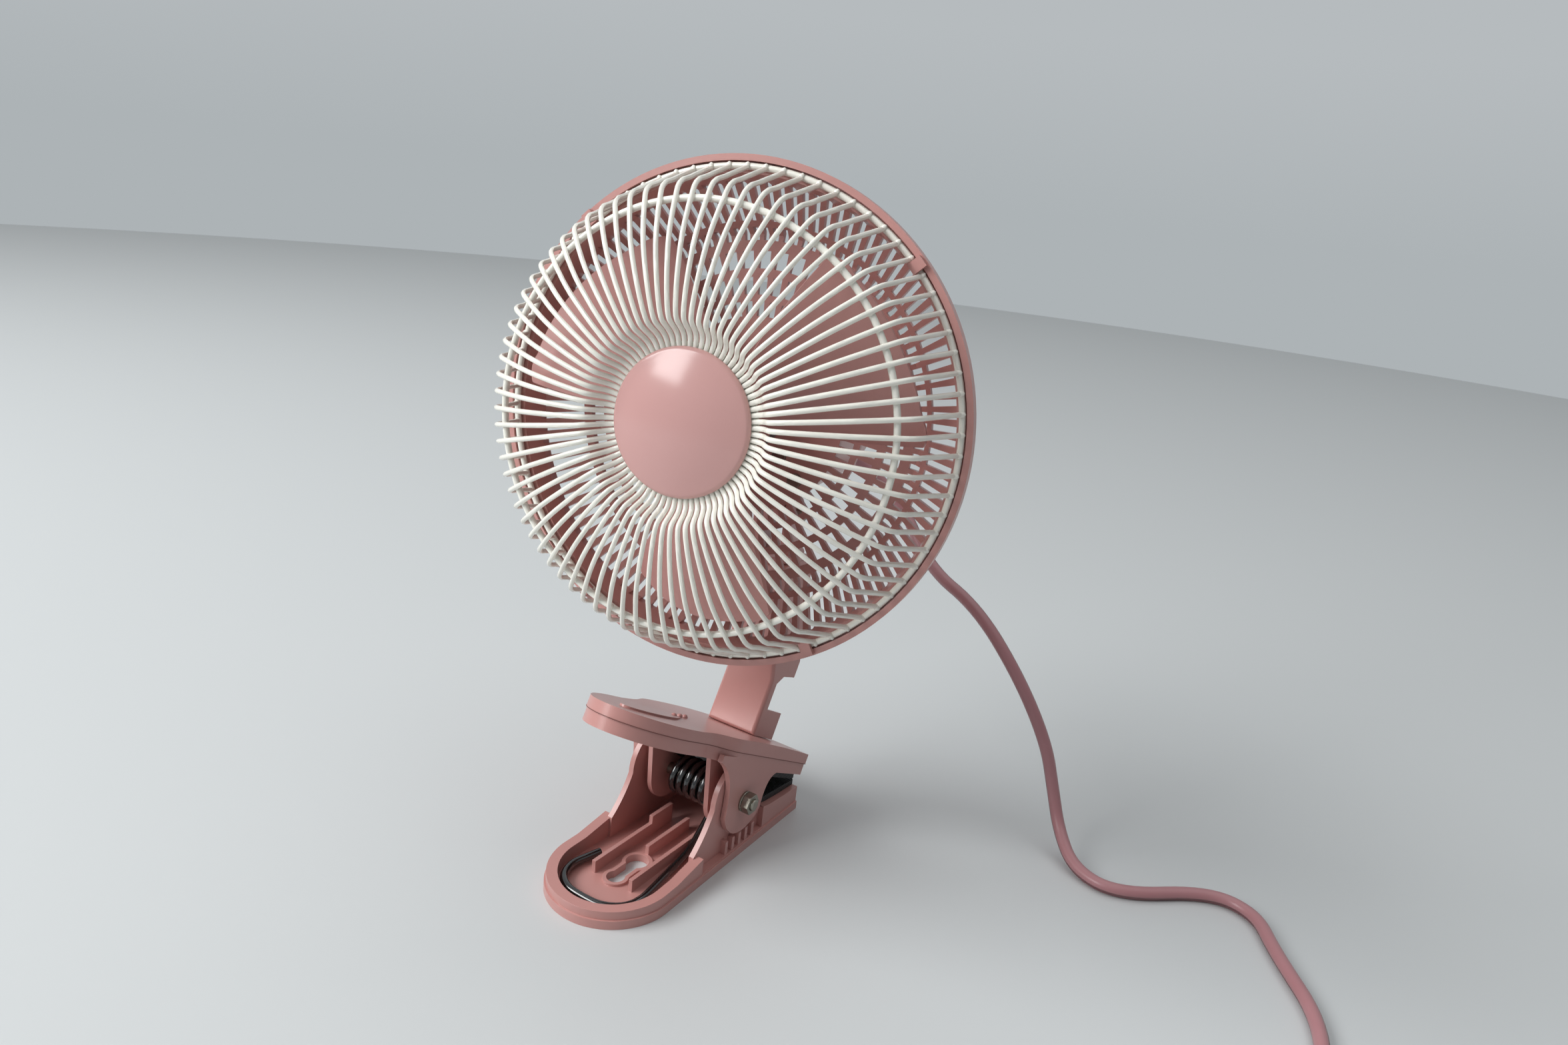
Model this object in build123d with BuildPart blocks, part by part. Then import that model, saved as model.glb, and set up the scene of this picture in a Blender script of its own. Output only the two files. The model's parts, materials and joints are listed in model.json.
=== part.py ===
from build123d import *
import math
import os

# Clip fan: a wire-fronted fan head that pans and tilts on a short neck, the neck fixed to the
# upper lever of a spring clip. Millimetres, +Z up. The origin is on the resting surface under the
# clip's pivot, +X is across the clip, -Y is toward the handles and the front of the fan.

# ---------------------------------------------------------------- pivot and jaw clearances
pivot_height = 25.3
bolt_radius = 2.5
running_gap = 0.06
moving_gap = 0.35

# ---------------------------------------------------------------- clip base (lower jaw)
base_front_centre = -52.0
base_front_radius = 27.2
base_rear = 46.3
base_rear_half_width = 25.8
foot_band = 3.8
foot_step = 0.7
base_floor = 2.2
rim_wall = 5.2
rim_front_height = 7.2
rim_lug_height = 11.4
rim_end = -27.5
recess_rear = 17.0
ear_inner = 20.4
ear_thickness = 2.4
base_ear_radius = 19.8
jaw_root_height = 15.5
jaw_tip_height = 11.2
jaw_wall = 2.4
jaw_pocket_floor = 4.0
tray_rib_thickness = 1.8
tray_rib_height = 7.6
tray_rib_spacing = 9.6
tray_rib_front = -53.0
tray_rib_rear = -3.0
tray_step_height = 3.4
tray_step_length = 14.0
recess_rib_count = 5
recess_rib_pitch = 4.85
recess_rib_top = 10.3
keyhole_head_radius = 4.75
keyhole_head_centre = -37.0
keyhole_shank_radius = 3.75
keyhole_shank_centre = -50.5
keyhole_neck = 5.6
keyhole_lip = 1.6
keyhole_lip_height = 1.2

# ---------------------------------------------------------------- upper lever
lever_rear = 51.9
lever_rear_height = 25.6
lever_angle = 27.5
lever_length = 130.0
lever_rear_half_width = 25.9
paddle_half_width = 20.8
lever_arch_span = 91.0
lever_arch_rise = 1.2
lever_skirt = 9.8
lever_wall = 2.3
flap_inner = 13.9
flap_thickness = 2.2
flap_radius = 13.2
seam_depth = 4.5
seam_inset = 0.4

# ---------------------------------------------------------------- torsion spring
spring_wire = 3.3
spring_coil_radius = 7.1
spring_pitch = 3.85
spring_turns = 5

# ---------------------------------------------------------------- neck
neck_half_width = 12.5
neck_lean = 28.0
neck_foot_front = 33.5
neck_foot_rear = 14.1
neck_seat_gap = 0.45
neck_kink = 37.6
neck_front_y = 34.5
neck_top = 118.0
neck_wall = 2.2
neck_deck = 6.0
pan_y = 45.0

# ---------------------------------------------------------------- screws of the neck, guards and motor
screw_head_radius = 2.8
screw_head_height = 2.0
screw_shank_radius = 1.5
neck_screw_spacing = 14.0
neck_screw_top = 2.6
neck_foot = 3.0
plate_underside = -3.5

neck_screw_spot = (neck_foot_front - neck_foot_rear) / 2

# ---------------------------------------------------------------- head placing
head_pan = 9.9
head_tilt = 5.9
hinge_height = 139.3
hinge_depth = 74.2
hinge_drop = 44.0

# ---------------------------------------------------------------- guards
flange_radius = 92.9
ring_radius = 88.8
ring_wire = 2.45
ring_back = 1.0
mid_ring_radius = 74.3
mid_ring_front = 27.4
grille_wire = 1.8
wire_count = 80
wire_inner_radius = 26.6
wire_phase = 1.9
guard_wall = 1.8

# ---------------------------------------------------------------- blade and motor
blade_count = 3
blade_tip_radius = 73.3
blade_hub_radius = 15.0
shaft_radius = 4.0
motor_radius = 36.0
motor_rear = -92.0
motor_wall = 2.0
stator_radius = 30.0
rotor_radius = 14.0
air_gap = 0.4
stack_front = -42.0
stack_rear = -66.0

# ---------------------------------------------------------------- power cord
cord_diameter = 5.6
coil_turns = 2.5
coil_outer_radius = 40.0
coil_step = 6.2
coil_centre = (293.0, 2.0)

os.makedirs("parts", exist_ok=True)


def finish(part, name):
    part.label = name
    export_step(part, f"parts/{name}.step")


# ---------------------------------------------------------------- shared frames
lever_frame = Plane(
    origin=(0, lever_rear, lever_rear_height),
    x_dir=(0, -math.cos(math.radians(lever_angle)), math.sin(math.radians(lever_angle))),
    z_dir=(0, math.sin(math.radians(lever_angle)), math.cos(math.radians(lever_angle))),
)


def lever_point(along, up):
    """(Y, Z) of a place measured along the lever from its rear top corner, and up from its top."""
    place = lever_frame.from_local_coords((along, 0, up))
    return (place.Y, place.Z)


def arch(along):
    """Height of the lever's gently arched top above its straight chord."""
    if along >= lever_arch_span:
        return 0.0
    half = lever_arch_span / 2
    return lever_arch_rise * (1 - ((along - half) / half) ** 2)


neck_frame = Plane(
    origin=(0, *lever_point(neck_foot_rear, arch(neck_foot_rear) + neck_seat_gap)),
    x_dir=(0, -math.cos(math.radians(neck_lean)), math.sin(math.radians(neck_lean))),
    z_dir=(0, math.sin(math.radians(neck_lean)), math.cos(math.radians(neck_lean))),
)


def neck_point(along, up):
    place = neck_frame.from_local_coords((along, 0, up))
    return (place.Y, place.Z)


pan = math.radians(head_pan)
tilt = math.radians(head_tilt)
head_axis = Vector(
    math.sin(pan) * math.cos(tilt), -math.cos(pan) * math.cos(tilt), math.sin(tilt)
)
head_right = Vector(math.cos(pan), math.sin(pan), 0)
head_up = head_axis.cross(head_right)
hinge = Vector(0, pan_y, hinge_height)
head_centre = hinge + head_axis * hinge_depth + head_up * hinge_drop

head = Plane(origin=head_centre, x_dir=head_right, z_dir=head_axis)
head_section = Plane(origin=head_centre, x_dir=head_right, z_dir=-head_up)
head_side = Plane(origin=head_centre, x_dir=head_axis, z_dir=head_right)
spin_axis = Axis(head_centre, head_axis)


# ---------------------------------------------------------------- clip base
def base_half_width(y):
    """Half width of the base behind its round front, where its sides draw in a little."""
    share = (y - base_front_centre) / (base_rear - base_front_centre)
    return base_front_radius + share * (base_rear_half_width - base_front_radius)


def base_outline(inset, rear):
    """The base's plan outline, drawn in by an inset and cut off at a rear line."""
    radius = base_front_radius - inset
    side = base_half_width(rear) - inset
    Polyline((-radius, base_front_centre), (-side, rear), (side, rear), (radius, base_front_centre))
    ThreePointArc(
        (radius, base_front_centre), (0, base_front_centre - radius), (-radius, base_front_centre)
    )


def keyhole(extra):
    """The keyhole's outline, grown all round by an extra width."""
    with Locations((0, keyhole_head_centre)):
        Circle(keyhole_head_radius + extra)
    with Locations((0, keyhole_shank_centre)):
        Circle(keyhole_shank_radius + extra)
    with Locations((0, (keyhole_head_centre + keyhole_shank_centre) / 2)):
        Rectangle(keyhole_neck + 2 * extra, keyhole_head_centre - keyhole_shank_centre)


ear_outer = ear_inner + ear_thickness
lever_ear_inner = ear_outer + moving_gap

with BuildPart() as lower_jaw:
    with BuildSketch():
        with BuildLine():
            base_outline(0, base_rear)
        make_face()
    extrude(amount=foot_band)
    with BuildSketch(Plane.XY.offset(foot_band)):
        with BuildLine():
            base_outline(foot_step, base_rear)
        make_face()
    extrude(amount=jaw_root_height + 4 - foot_band)
    # side profile: low rim at the front, a raised lug, then the jaw behind the ears
    with BuildSketch(Plane.YZ.offset(-base_front_radius)):
        with BuildLine():
            Polyline(
                (base_front_centre - base_front_radius - 1, 0),
                (base_front_centre - base_front_radius - 1, rim_front_height),
                (-44, rim_front_height + 1.2),
                (rim_end, rim_lug_height),
                (rim_end, foot_band + 0.5),
                (recess_rear, foot_band + 0.5),
                (recess_rear, 14.4),
                (23, 13.3),
                (34.4, 12.1),
                (base_rear + 1, jaw_tip_height),
                (base_rear + 1, 0),
                (base_front_centre - base_front_radius - 1, 0),
            )
        make_face()
    extrude(amount=2 * base_front_radius, mode=Mode.INTERSECT)
    # front tray
    with BuildSketch(Plane.XY.offset(base_floor)):
        with BuildLine():
            base_outline(rim_wall, rim_end)
        make_face()
    extrude(amount=30, mode=Mode.SUBTRACT)
    with BuildSketch(Plane.XY.offset(base_floor)):
        with Locations((0, (rim_end + recess_rear) / 2 - 2)):
            Rectangle(2 * ear_inner, recess_rear - rim_end + 4 - moving_gap)
    extrude(amount=30, mode=Mode.SUBTRACT)
    # ears that carry the pivot bolt
    for side in (-1, 1):
        start = ear_inner if side > 0 else -ear_outer
        with BuildSketch(Plane.YZ.offset(start)):
            with BuildLine():
                Polyline(
                    (recess_rear + 4, 0.5), (rim_end - 3, 0.5), (rim_end - 2.5, rim_lug_height)
                )
                ThreePointArc((rim_end - 2.5, rim_lug_height), (-24.0, 17.6), (-17.8, 27.6))
                ThreePointArc(
                    (-17.8, 27.6),
                    (0, pivot_height + base_ear_radius - 1.9),
                    (12.5, 31.5),
                )
                ThreePointArc((12.5, 31.5), (14.2, 22.0), (12.8, 14.9))
                Polyline((12.8, 14.9), (recess_rear + 4, 13.6), (recess_rear + 4, 0.5))
            make_face()
        extrude(amount=ear_thickness)
    # small stiffening ribs in the side recesses
    for side in (-1, 1):
        with BuildSketch(Plane.XY.offset(foot_band)):
            for number in range(recess_rib_count):
                with Locations((side * (ear_outer + 1.2), -10 + recess_rib_pitch * number)):
                    Rectangle(2.9, 1.9)
        extrude(amount=recess_rib_top - foot_band)
    # ribs of the tray floor, the outer two with a higher step behind them
    middle_rib_front = keyhole_head_centre + keyhole_head_radius + keyhole_lip - 0.3
    with BuildSketch(Plane.XY.offset(base_floor)):
        for x in (-tray_rib_spacing, tray_rib_spacing):
            with Locations((x, (tray_rib_front + tray_rib_rear) / 2)):
                Rectangle(tray_rib_thickness, tray_rib_rear - tray_rib_front)
        with Locations((0, (middle_rib_front + tray_rib_rear) / 2)):
            Rectangle(tray_rib_thickness, tray_rib_rear - middle_rib_front)
    extrude(amount=tray_rib_height - base_floor)
    with BuildSketch(Plane.XY.offset(base_floor)):
        with Locations((-tray_rib_spacing, tray_rib_rear - tray_step_length / 2)):
            Rectangle(tray_rib_thickness, tray_step_length)
    extrude(amount=tray_rib_height + tray_step_height - base_floor)
    # pocket that takes the rubber pad of the jaw
    with BuildSketch(Plane.XY.offset(jaw_pocket_floor)):
        with Locations((0, (recess_rear + 2 + base_rear - jaw_wall) / 2)):
            Rectangle(2 * (ear_inner - 0.4), base_rear - jaw_wall - recess_rear - 2)
    extrude(amount=20, mode=Mode.SUBTRACT)
    # keyhole for hanging on a screw, with a raised lip round it
    with BuildSketch(Plane.XY.offset(base_floor)):
        keyhole(keyhole_lip)
    extrude(amount=keyhole_lip_height)
    with BuildSketch():
        keyhole(0)
    extrude(amount=base_floor + keyhole_lip_height, mode=Mode.SUBTRACT)
    # pivot bores
    with Locations(Plane.YZ):
        with Locations((0, pivot_height, 0)):
            Cylinder(
                bolt_radius + running_gap, 2 * base_front_radius, mode=Mode.SUBTRACT
            )

finish(lower_jaw.part, "lower_jaw")


# ---------------------------------------------------------------- upper lever
lever_ear_outer = lever_rear_half_width - seam_inset
flare_start = 64.0
flare_end = 84.0
paddle_centre = 97.5


def lever_outline(inset):
    """Plan outline of the lever: wide jaw end, flare, narrower paddle with an elliptical tip."""
    wide = lever_rear_half_width - inset
    slim = paddle_half_width - inset
    Line((inset, -wide), (inset, wide))
    Line((inset, wide), (flare_start, wide))
    Spline((flare_start, wide), (flare_end, slim), tangents=((1, 0), (1, 0)))
    Line((flare_end, slim), (paddle_centre, slim))
    EllipticalCenterArc(
        (paddle_centre, 0), lever_length - paddle_centre - inset, slim, start_angle=-90, arc_size=180
    )
    Line((paddle_centre, -slim), (flare_end, -slim))
    Spline((flare_end, -slim), (flare_start, -wide), tangents=((-1, 0), (-1, 0)))
    Line((flare_start, -wide), (inset, -wide))


with BuildPart() as upper_lever:
    # lower band, drawn in a little below the seam line
    with BuildSketch(lever_frame.offset(-lever_skirt)):
        with BuildLine():
            lever_outline(seam_inset)
        make_face()
    extrude(amount=lever_skirt)
    # upper band and crowned top
    with BuildSketch(lever_frame.offset(-seam_depth)):
        with BuildLine():
            lever_outline(0)
        make_face()
    extrude(amount=seam_depth + lever_arch_rise + 1)
    with BuildSketch(Plane.YZ.offset(-lever_rear_half_width - 1)):
        with BuildLine():
            ThreePointArc(
                lever_point(0, 0),
                lever_point(lever_arch_span / 2, lever_arch_rise),
                lever_point(lever_arch_span, 0),
            )
            Polyline(
                lever_point(lever_arch_span, 0),
                lever_point(lever_length + 5, 0),
                lever_point(lever_length + 5, -lever_skirt - 5),
                lever_point(0, -lever_skirt - 5),
                lever_point(0, 0),
            )
        make_face()
    extrude(amount=2 * lever_rear_half_width + 2, mode=Mode.INTERSECT)
    # hollow underside
    with BuildSketch(lever_frame.offset(-lever_skirt - 1)):
        with BuildLine():
            lever_outline(seam_inset + lever_wall)
        make_face()
    extrude(amount=lever_skirt + 1 - lever_wall, mode=Mode.SUBTRACT)
    # outer ears and the jaw's side walls
    for start in (lever_ear_inner, -lever_ear_outer):
        with BuildSketch(Plane.YZ.offset(start)):
            with BuildLine():
                Polyline(lever_point(76, -lever_skirt + 3), lever_point(76, -lever_skirt))
                Spline(
                    lever_point(76, -lever_skirt),
                    (-15.8, 47.2),
                    (-12.3, 37.5),
                    (-12.6, 29.0),
                    (-13.6, 22.5),
                )
                ThreePointArc((-13.6, 22.5), (-5.5, 12.2), (4.5, 11.4))
                ThreePointArc((4.5, 11.4), (9.4, 13.0), (13.4, 16.2))
                Spline((13.4, 16.2), (14.9, 20.6), (18.0, 25.6), (24.9, 27.9))
                Polyline(
                    (24.9, 27.9), lever_point(2, -lever_skirt), lever_point(2, -seam_depth),
                    lever_point(76, -lever_skirt + 3),
                )
            make_face()
        extrude(amount=lever_ear_outer - lever_ear_inner)
    # inner flaps beside the spring
    for start in (flap_inner, -flap_inner - flap_thickness):
        with BuildSketch(Plane.YZ.offset(start)):
            with BuildLine():
                ThreePointArc(
                    (-flap_radius, pivot_height),
                    (0, pivot_height - flap_radius),
                    (flap_radius, pivot_height),
                )
                Polyline(
                    (flap_radius, pivot_height),
                    lever_point(46, -lever_wall + 0.5),
                    lever_point(74, -lever_wall + 0.5),
                    (-flap_radius, pivot_height),
                )
            make_face()
        extrude(amount=flap_thickness)
    # raised thumb rest with three small nubs
    with BuildSketch(lever_frame.offset(-0.5)):
        with Locations((99, 0)):
            Ellipse(20, 6.5)
    extrude(amount=1.3)
    with Locations(lever_frame):
        for along in (81.5, 77.0, 73.0):
            with Locations((along, 0, arch(along))):
                Sphere(1.3)
    # pivot bores
    with Locations(Plane.YZ):
        with Locations((0, pivot_height, 0)):
            Cylinder(bolt_radius + running_gap, 60, mode=Mode.SUBTRACT)
    # holes for the neck's screws
    with Locations(neck_frame):
        for across in (-neck_screw_spacing / 2, neck_screw_spacing / 2):
            with Locations((neck_screw_spot, across, plate_underside / 2)):
                Cylinder(screw_shank_radius + 0.2, 6, mode=Mode.SUBTRACT)

finish(upper_lever.part, "upper_lever")


# ---------------------------------------------------------------- jaw pads
pad_half_width = 22.5
pad_clearance = 0.1
pad_lip = 3.0
pad_front = 36.2
pad_ridge_pitch = 1.3
pad_ridge_depth = 0.5
pad_ridge_count = 6

with BuildPart() as upper_pad:
    rear_inside = seam_inset + lever_wall + pad_clearance
    with BuildSketch(Plane.YZ.offset(-pad_half_width)):
        with BuildLine():
            outline = [
                lever_point(pad_front, -lever_wall - pad_clearance),
                lever_point(rear_inside, -lever_wall - pad_clearance),
                lever_point(rear_inside, -lever_skirt - pad_clearance),
                lever_point(0.8, -lever_skirt - pad_clearance - 0.2),
                (46.2, 14.5),
                (45.2, 14.6),
                (23.6, 25.1),
                (18.5, 25.2),
            ]
            for ridge in range(pad_ridge_count):
                low = 10.0 - pad_ridge_pitch * ridge
                outline.append(lever_point(pad_front - pad_ridge_depth, -low))
                outline.append(lever_point(pad_front, -low + pad_ridge_pitch / 2))
            Polyline(*outline, close=True)
        make_face()
    extrude(amount=2 * pad_half_width)
    # room for the heads of the neck's screws
    with Locations(neck_frame):
        for across in (-neck_screw_spacing / 2, neck_screw_spacing / 2):
            with Locations((neck_screw_spot, across, plate_underside - 0.5)):
                Cylinder(screw_head_radius + 0.4, 2 * screw_head_height + 1.4, mode=Mode.SUBTRACT)

finish(upper_pad.part, "upper_pad")

with BuildPart() as lower_pad:
    with BuildSketch(Plane.YZ.offset(-pad_half_width)):
        with BuildLine():
            Polyline(
                (recess_rear + 2, 14.04), (23, 13.3), (34.4, 12.1), (46.2, 11.28),
                (46.2, 14.1), (43, 14.1), (34.4, 15.0), (23, 16.2), (recess_rear + 2, 16.6),
                close=True,
            )
        make_face()
    extrude(amount=2 * pad_half_width)
    with BuildSketch(Plane.XY.offset(jaw_pocket_floor)):
        with Locations((0, (recess_rear + 2 + base_rear - jaw_wall) / 2)):
            Rectangle(
                2 * (ear_inner - 0.4 - pad_clearance),
                base_rear - jaw_wall - recess_rear - 2 - 2 * pad_clearance,
            )
    extrude(amount=jaw_tip_height + 1 - jaw_pocket_floor)

finish(lower_pad.part, "lower_pad")


# ---------------------------------------------------------------- pivot hardware
washer_radius = 4.5
washer_thickness = 1.0
nut_flats = 8.0
nut_height = 3.6
bolt_tail = 1.2
washer_outer = lever_ear_outer + washer_thickness

with BuildPart() as pivot_bolt:
    with BuildSketch(Plane.YZ.offset(-washer_outer)):
        with Locations((0, pivot_height)):
            Circle(bolt_radius)
    extrude(amount=2 * washer_outer + nut_height + bolt_tail)
    with BuildSketch(Plane.YZ.offset(-washer_outer)):
        with Locations((0, pivot_height)):
            Circle(washer_radius)
    extrude(amount=-3.0, taper=18)
    chamfer(pivot_bolt.faces().sort_by(Axis.X)[-1].edges(), 0.5)

finish(pivot_bolt.part, "pivot_bolt")

with BuildPart() as pivot_nut:
    with BuildSketch(Plane.YZ.offset(washer_outer)):
        with Locations((0, pivot_height)):
            RegularPolygon(nut_flats / 2, 6, major_radius=False)
            Circle(bolt_radius + 0.02, mode=Mode.SUBTRACT)
    extrude(amount=nut_height)

finish(pivot_nut.part, "pivot_nut")

with BuildPart() as pivot_washers:
    for start in (lever_ear_outer, -washer_outer):
        with BuildSketch(Plane.YZ.offset(start)):
            with Locations((0, pivot_height)):
                Circle(washer_radius)
                Circle(bolt_radius + 0.02, mode=Mode.SUBTRACT)
        extrude(amount=washer_thickness)

finish(pivot_washers.part, "pivot_washers")


# ---------------------------------------------------------------- wound tubes
def biarc(start, start_heading, finish_at, finish_heading):
    """Two tangent arcs from one place and heading to another."""
    span = finish_at - start
    square = 2 * (1 - start_heading.dot(finish_heading))
    linear = 2 * span.dot(start_heading + finish_heading)
    constant = span.dot(span)
    if square < 1e-9:
        reach = constant / linear
    else:
        reach = (math.sqrt(linear**2 + 4 * square * constant) - linear) / (2 * square)
    first = start + start_heading * reach
    second = finish_at - finish_heading * reach
    middle = (first + second) * 0.5
    TangentArc(start, middle, tangent=start_heading)
    TangentArc(middle, finish_at, tangent=(second - first).normalized())


def winding(places):
    """A row of biarcs through a list of (place, heading) pairs."""
    for (start, leaving), (end, arriving) in zip(places, places[1:]):
        biarc(start, leaving, end, arriving)


def least_gap(wire, diameter, skip):
    """Least clear distance between parts of a tube that lie further apart along it than skip."""
    count = int(wire.length / (diameter / 4))
    spots = [wire.position_at(number / count) for number in range(count + 1)]
    apart = int(skip / (wire.length / count)) + 1
    least = 1e9
    for number, spot in enumerate(spots):
        for other in spots[number + apart:]:
            least = min(least, (spot - other).length)
    return least - diameter


# ---------------------------------------------------------------- torsion spring
spring_low = math.radians(-57.4)
spring_high = math.radians(47.6)
spring_sweep = spring_high - spring_low + 2 * math.pi * spring_turns
spring_side = 10.7
leg_floor = 4.1
leg_run = 30.0


def spring_place(angle):
    """Place and heading on the coil after turning through an angle from its lower end."""
    turned = spring_low + angle
    rise = spring_pitch / (2 * math.pi)
    place = Vector(
        spring_side - rise * angle,
        spring_coil_radius * math.cos(turned),
        pivot_height + spring_coil_radius * math.sin(turned),
    )
    heading = Vector(
        -rise, -spring_coil_radius * math.sin(turned), spring_coil_radius * math.cos(turned)
    )
    return place, heading.normalized()


with BuildPart() as torsion_spring:
    steps = round(spring_sweep / (math.pi / 2))
    coil_places = [spring_place(spring_sweep * number / steps) for number in range(steps + 1)]
    low_place, low_heading = coil_places[0]
    high_place, high_heading = coil_places[-1]
    leg_drop = (low_place.Z - leg_floor) / low_heading.Z
    leg_foot = low_place - low_heading * leg_drop
    leg_reach = (high_place.Y + 33.0) / -high_heading.Y
    leg_bend = high_place + high_heading * leg_reach
    with BuildLine() as spring_path:
        FilletPolyline(
            (-14.6, -43.5, leg_floor), (-17.9, -57.5, leg_floor), (-10, -71.3, leg_floor),
            (10, -71.3, leg_floor), (18.3, -57.5, leg_floor), leg_foot, low_place,
            radius=[12, 12, 12, 12, 8],
        )
        winding(coil_places)
        FilletPolyline(
            high_place, leg_bend,
            leg_bend + Vector(0, -math.cos(math.radians(lever_angle)) * 12,
                              math.sin(math.radians(lever_angle)) * 12),
            radius=20,
        )
    with BuildSketch(Plane(origin=(-14.6, -43.5, leg_floor), z_dir=(-3.3, -14, 0))):
        Circle(spring_wire / 2)
    sweep(path=spring_path.wires()[0])

finish(torsion_spring.part, "torsion_spring")
print("spring least gap", round(least_gap(spring_path.wires()[0], spring_wire, 20), 3))


# ---------------------------------------------------------------- neck
swivel_radius = 6.0
pilot_gap = 0.05


def neck_front(inset):
    """Height, up the sloping foot, where the neck's front turns upright."""
    foot_y = neck_point(neck_foot_front - neck_foot_rear - inset, 0)[0]
    return (neck_front_y + inset - foot_y) / math.sin(math.radians(neck_lean))


with BuildPart() as neck:
    foot = neck_foot_front - neck_foot_rear
    kink = neck_point(0, neck_kink)
    with BuildSketch(Plane.YZ.offset(-neck_half_width)):
        with BuildLine():
            Polyline(
                neck_point(0, 0), kink, (kink[0], neck_top), (neck_front_y, neck_top),
                neck_point(foot, neck_front(0)), neck_point(foot, 0), close=True,
            )
        make_face()
    extrude(amount=2 * neck_half_width)
    # channel, open to the rear
    with BuildSketch(Plane.YZ.offset(-neck_half_width + neck_wall)):
        with BuildLine():
            Polyline(
                neck_point(-5, neck_foot), neck_point(-5, neck_kink),
                (kink[0] + 5, kink[1]), (kink[0] + 5, neck_top - neck_deck),
                (neck_front_y + neck_wall, neck_top - neck_deck),
                neck_point(foot - neck_wall, neck_front(neck_wall)),
                neck_point(foot - neck_wall, neck_foot), close=True,
            )
        make_face()
    extrude(amount=2 * (neck_half_width - neck_wall), mode=Mode.SUBTRACT)
    # windows in both side walls, open to the rear edge
    with BuildSketch(Plane.YZ.offset(-neck_half_width)):
        with BuildLine():
            Polyline(
                neck_point(-2, 12.5), neck_point(14.3, 12.5), neck_point(14.3, 24.5),
                neck_point(10, 28.5), neck_point(-2, 30), close=True,
            )
        make_face()
    extrude(amount=2 * neck_half_width, mode=Mode.SUBTRACT)
    # swivel bore and the pilot holes of the foot
    with Locations((0, pan_y, neck_top - neck_deck / 2)):
        Cylinder(swivel_radius + running_gap, neck_deck + 1, mode=Mode.SUBTRACT)
    with Locations(neck_frame):
        for across in (-neck_screw_spacing / 2, neck_screw_spacing / 2):
            with Locations((neck_screw_spot, across, neck_foot / 2)):
                Cylinder(screw_shank_radius + pilot_gap, neck_foot + 1, mode=Mode.SUBTRACT)

finish(neck.part, "neck")

with BuildPart() as neck_screws:
    with Locations(neck_frame):
        for across in (-neck_screw_spacing / 2, neck_screw_spacing / 2):
            with Locations((neck_screw_spot, across, plate_underside)):
                Cylinder(
                    screw_shank_radius, neck_screw_top - plate_underside,
                    align=(Align.CENTER, Align.CENTER, Align.MIN),
                )
                Cylinder(
                    screw_head_radius, screw_head_height,
                    align=(Align.CENTER, Align.CENTER, Align.MAX),
                )

finish(neck_screws.part, "neck_screws")


# ---------------------------------------------------------------- yoke and its fasteners
yoke_gap = 0.3
yoke_disc_radius = 13.0
yoke_disc = 3.0
yoke_cheek_inner = 5.0
yoke_cheek_outer = 9.0
knuckle_radius = 7.0
tilt_bolt_radius = 2.2
swivel_screw_radius = 2.0
spigot_bottom = neck_top - neck_deck - yoke_gap
swivel_washer_thickness = 1.2
yoke_base = neck_top + yoke_gap

hinge_plane = Plane(origin=hinge, x_dir=(0, 0, 1), z_dir=head_right)

with BuildPart() as pan_yoke:
    with BuildSketch(Plane.XY.offset(yoke_base)):
        with Locations((0, pan_y)):
            Circle(yoke_disc_radius)
    extrude(amount=yoke_disc)
    with BuildSketch(Plane.XY.offset(yoke_base)):
        with Locations((0, pan_y)):
            Circle(swivel_radius)
    extrude(amount=spigot_bottom - yoke_base)
    for start in (yoke_cheek_inner, -yoke_cheek_outer):
        with BuildSketch(hinge_plane.offset(start)):
            Circle(knuckle_radius)
            with Locations(((yoke_base + yoke_disc - 0.5 - hinge_height) / 2, 0)):
                Rectangle(hinge_height - yoke_base - yoke_disc + 0.5, 2 * knuckle_radius)
        extrude(amount=yoke_cheek_outer - yoke_cheek_inner)
    with BuildSketch(hinge_plane.offset(-yoke_cheek_outer - 1)):
        Circle(tilt_bolt_radius + pilot_gap)
    extrude(amount=2 * yoke_cheek_outer + 2, mode=Mode.SUBTRACT)
    with Locations((0, pan_y, spigot_bottom)):
        Cylinder(
            swivel_screw_radius + pilot_gap, yoke_base + yoke_disc - spigot_bottom,
            align=(Align.CENTER, Align.CENTER, Align.MIN), mode=Mode.SUBTRACT,
        )

finish(pan_yoke.part, "pan_yoke")

with BuildPart() as swivel_washer:
    with BuildSketch(Plane.XY.offset(spigot_bottom - swivel_washer_thickness)):
        with Locations((0, pan_y)):
            Circle(7.8)
            Circle(swivel_screw_radius + pilot_gap, mode=Mode.SUBTRACT)
    extrude(amount=swivel_washer_thickness)

finish(swivel_washer.part, "swivel_washer")

with BuildPart() as swivel_screw:
    with Locations((0, pan_y, spigot_bottom - swivel_washer_thickness)):
        Cylinder(4.0, 2.2, align=(Align.CENTER, Align.CENTER, Align.MAX))
        Cylinder(
            swivel_screw_radius, yoke_base + yoke_disc - spigot_bottom,
            align=(Align.CENTER, Align.CENTER, Align.MIN),
        )

finish(swivel_screw.part, "swivel_screw")

with BuildPart() as tilt_bolt:
    with BuildSketch(hinge_plane.offset(-yoke_cheek_outer)):
        Circle(tilt_bolt_radius)
    extrude(amount=2 * yoke_cheek_outer + 4)
    with BuildSketch(hinge_plane.offset(-yoke_cheek_outer)):
        Circle(4.3)
    extrude(amount=-2.8, taper=15)

finish(tilt_bolt.part, "tilt_bolt")

with BuildPart() as tilt_nut:
    with BuildSketch(hinge_plane.offset(yoke_cheek_outer)):
        RegularPolygon(3.5, 6, major_radius=False)
        Circle(tilt_bolt_radius + 0.02, mode=Mode.SUBTRACT)
    extrude(amount=3)

finish(tilt_nut.part, "tilt_nut")


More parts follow.
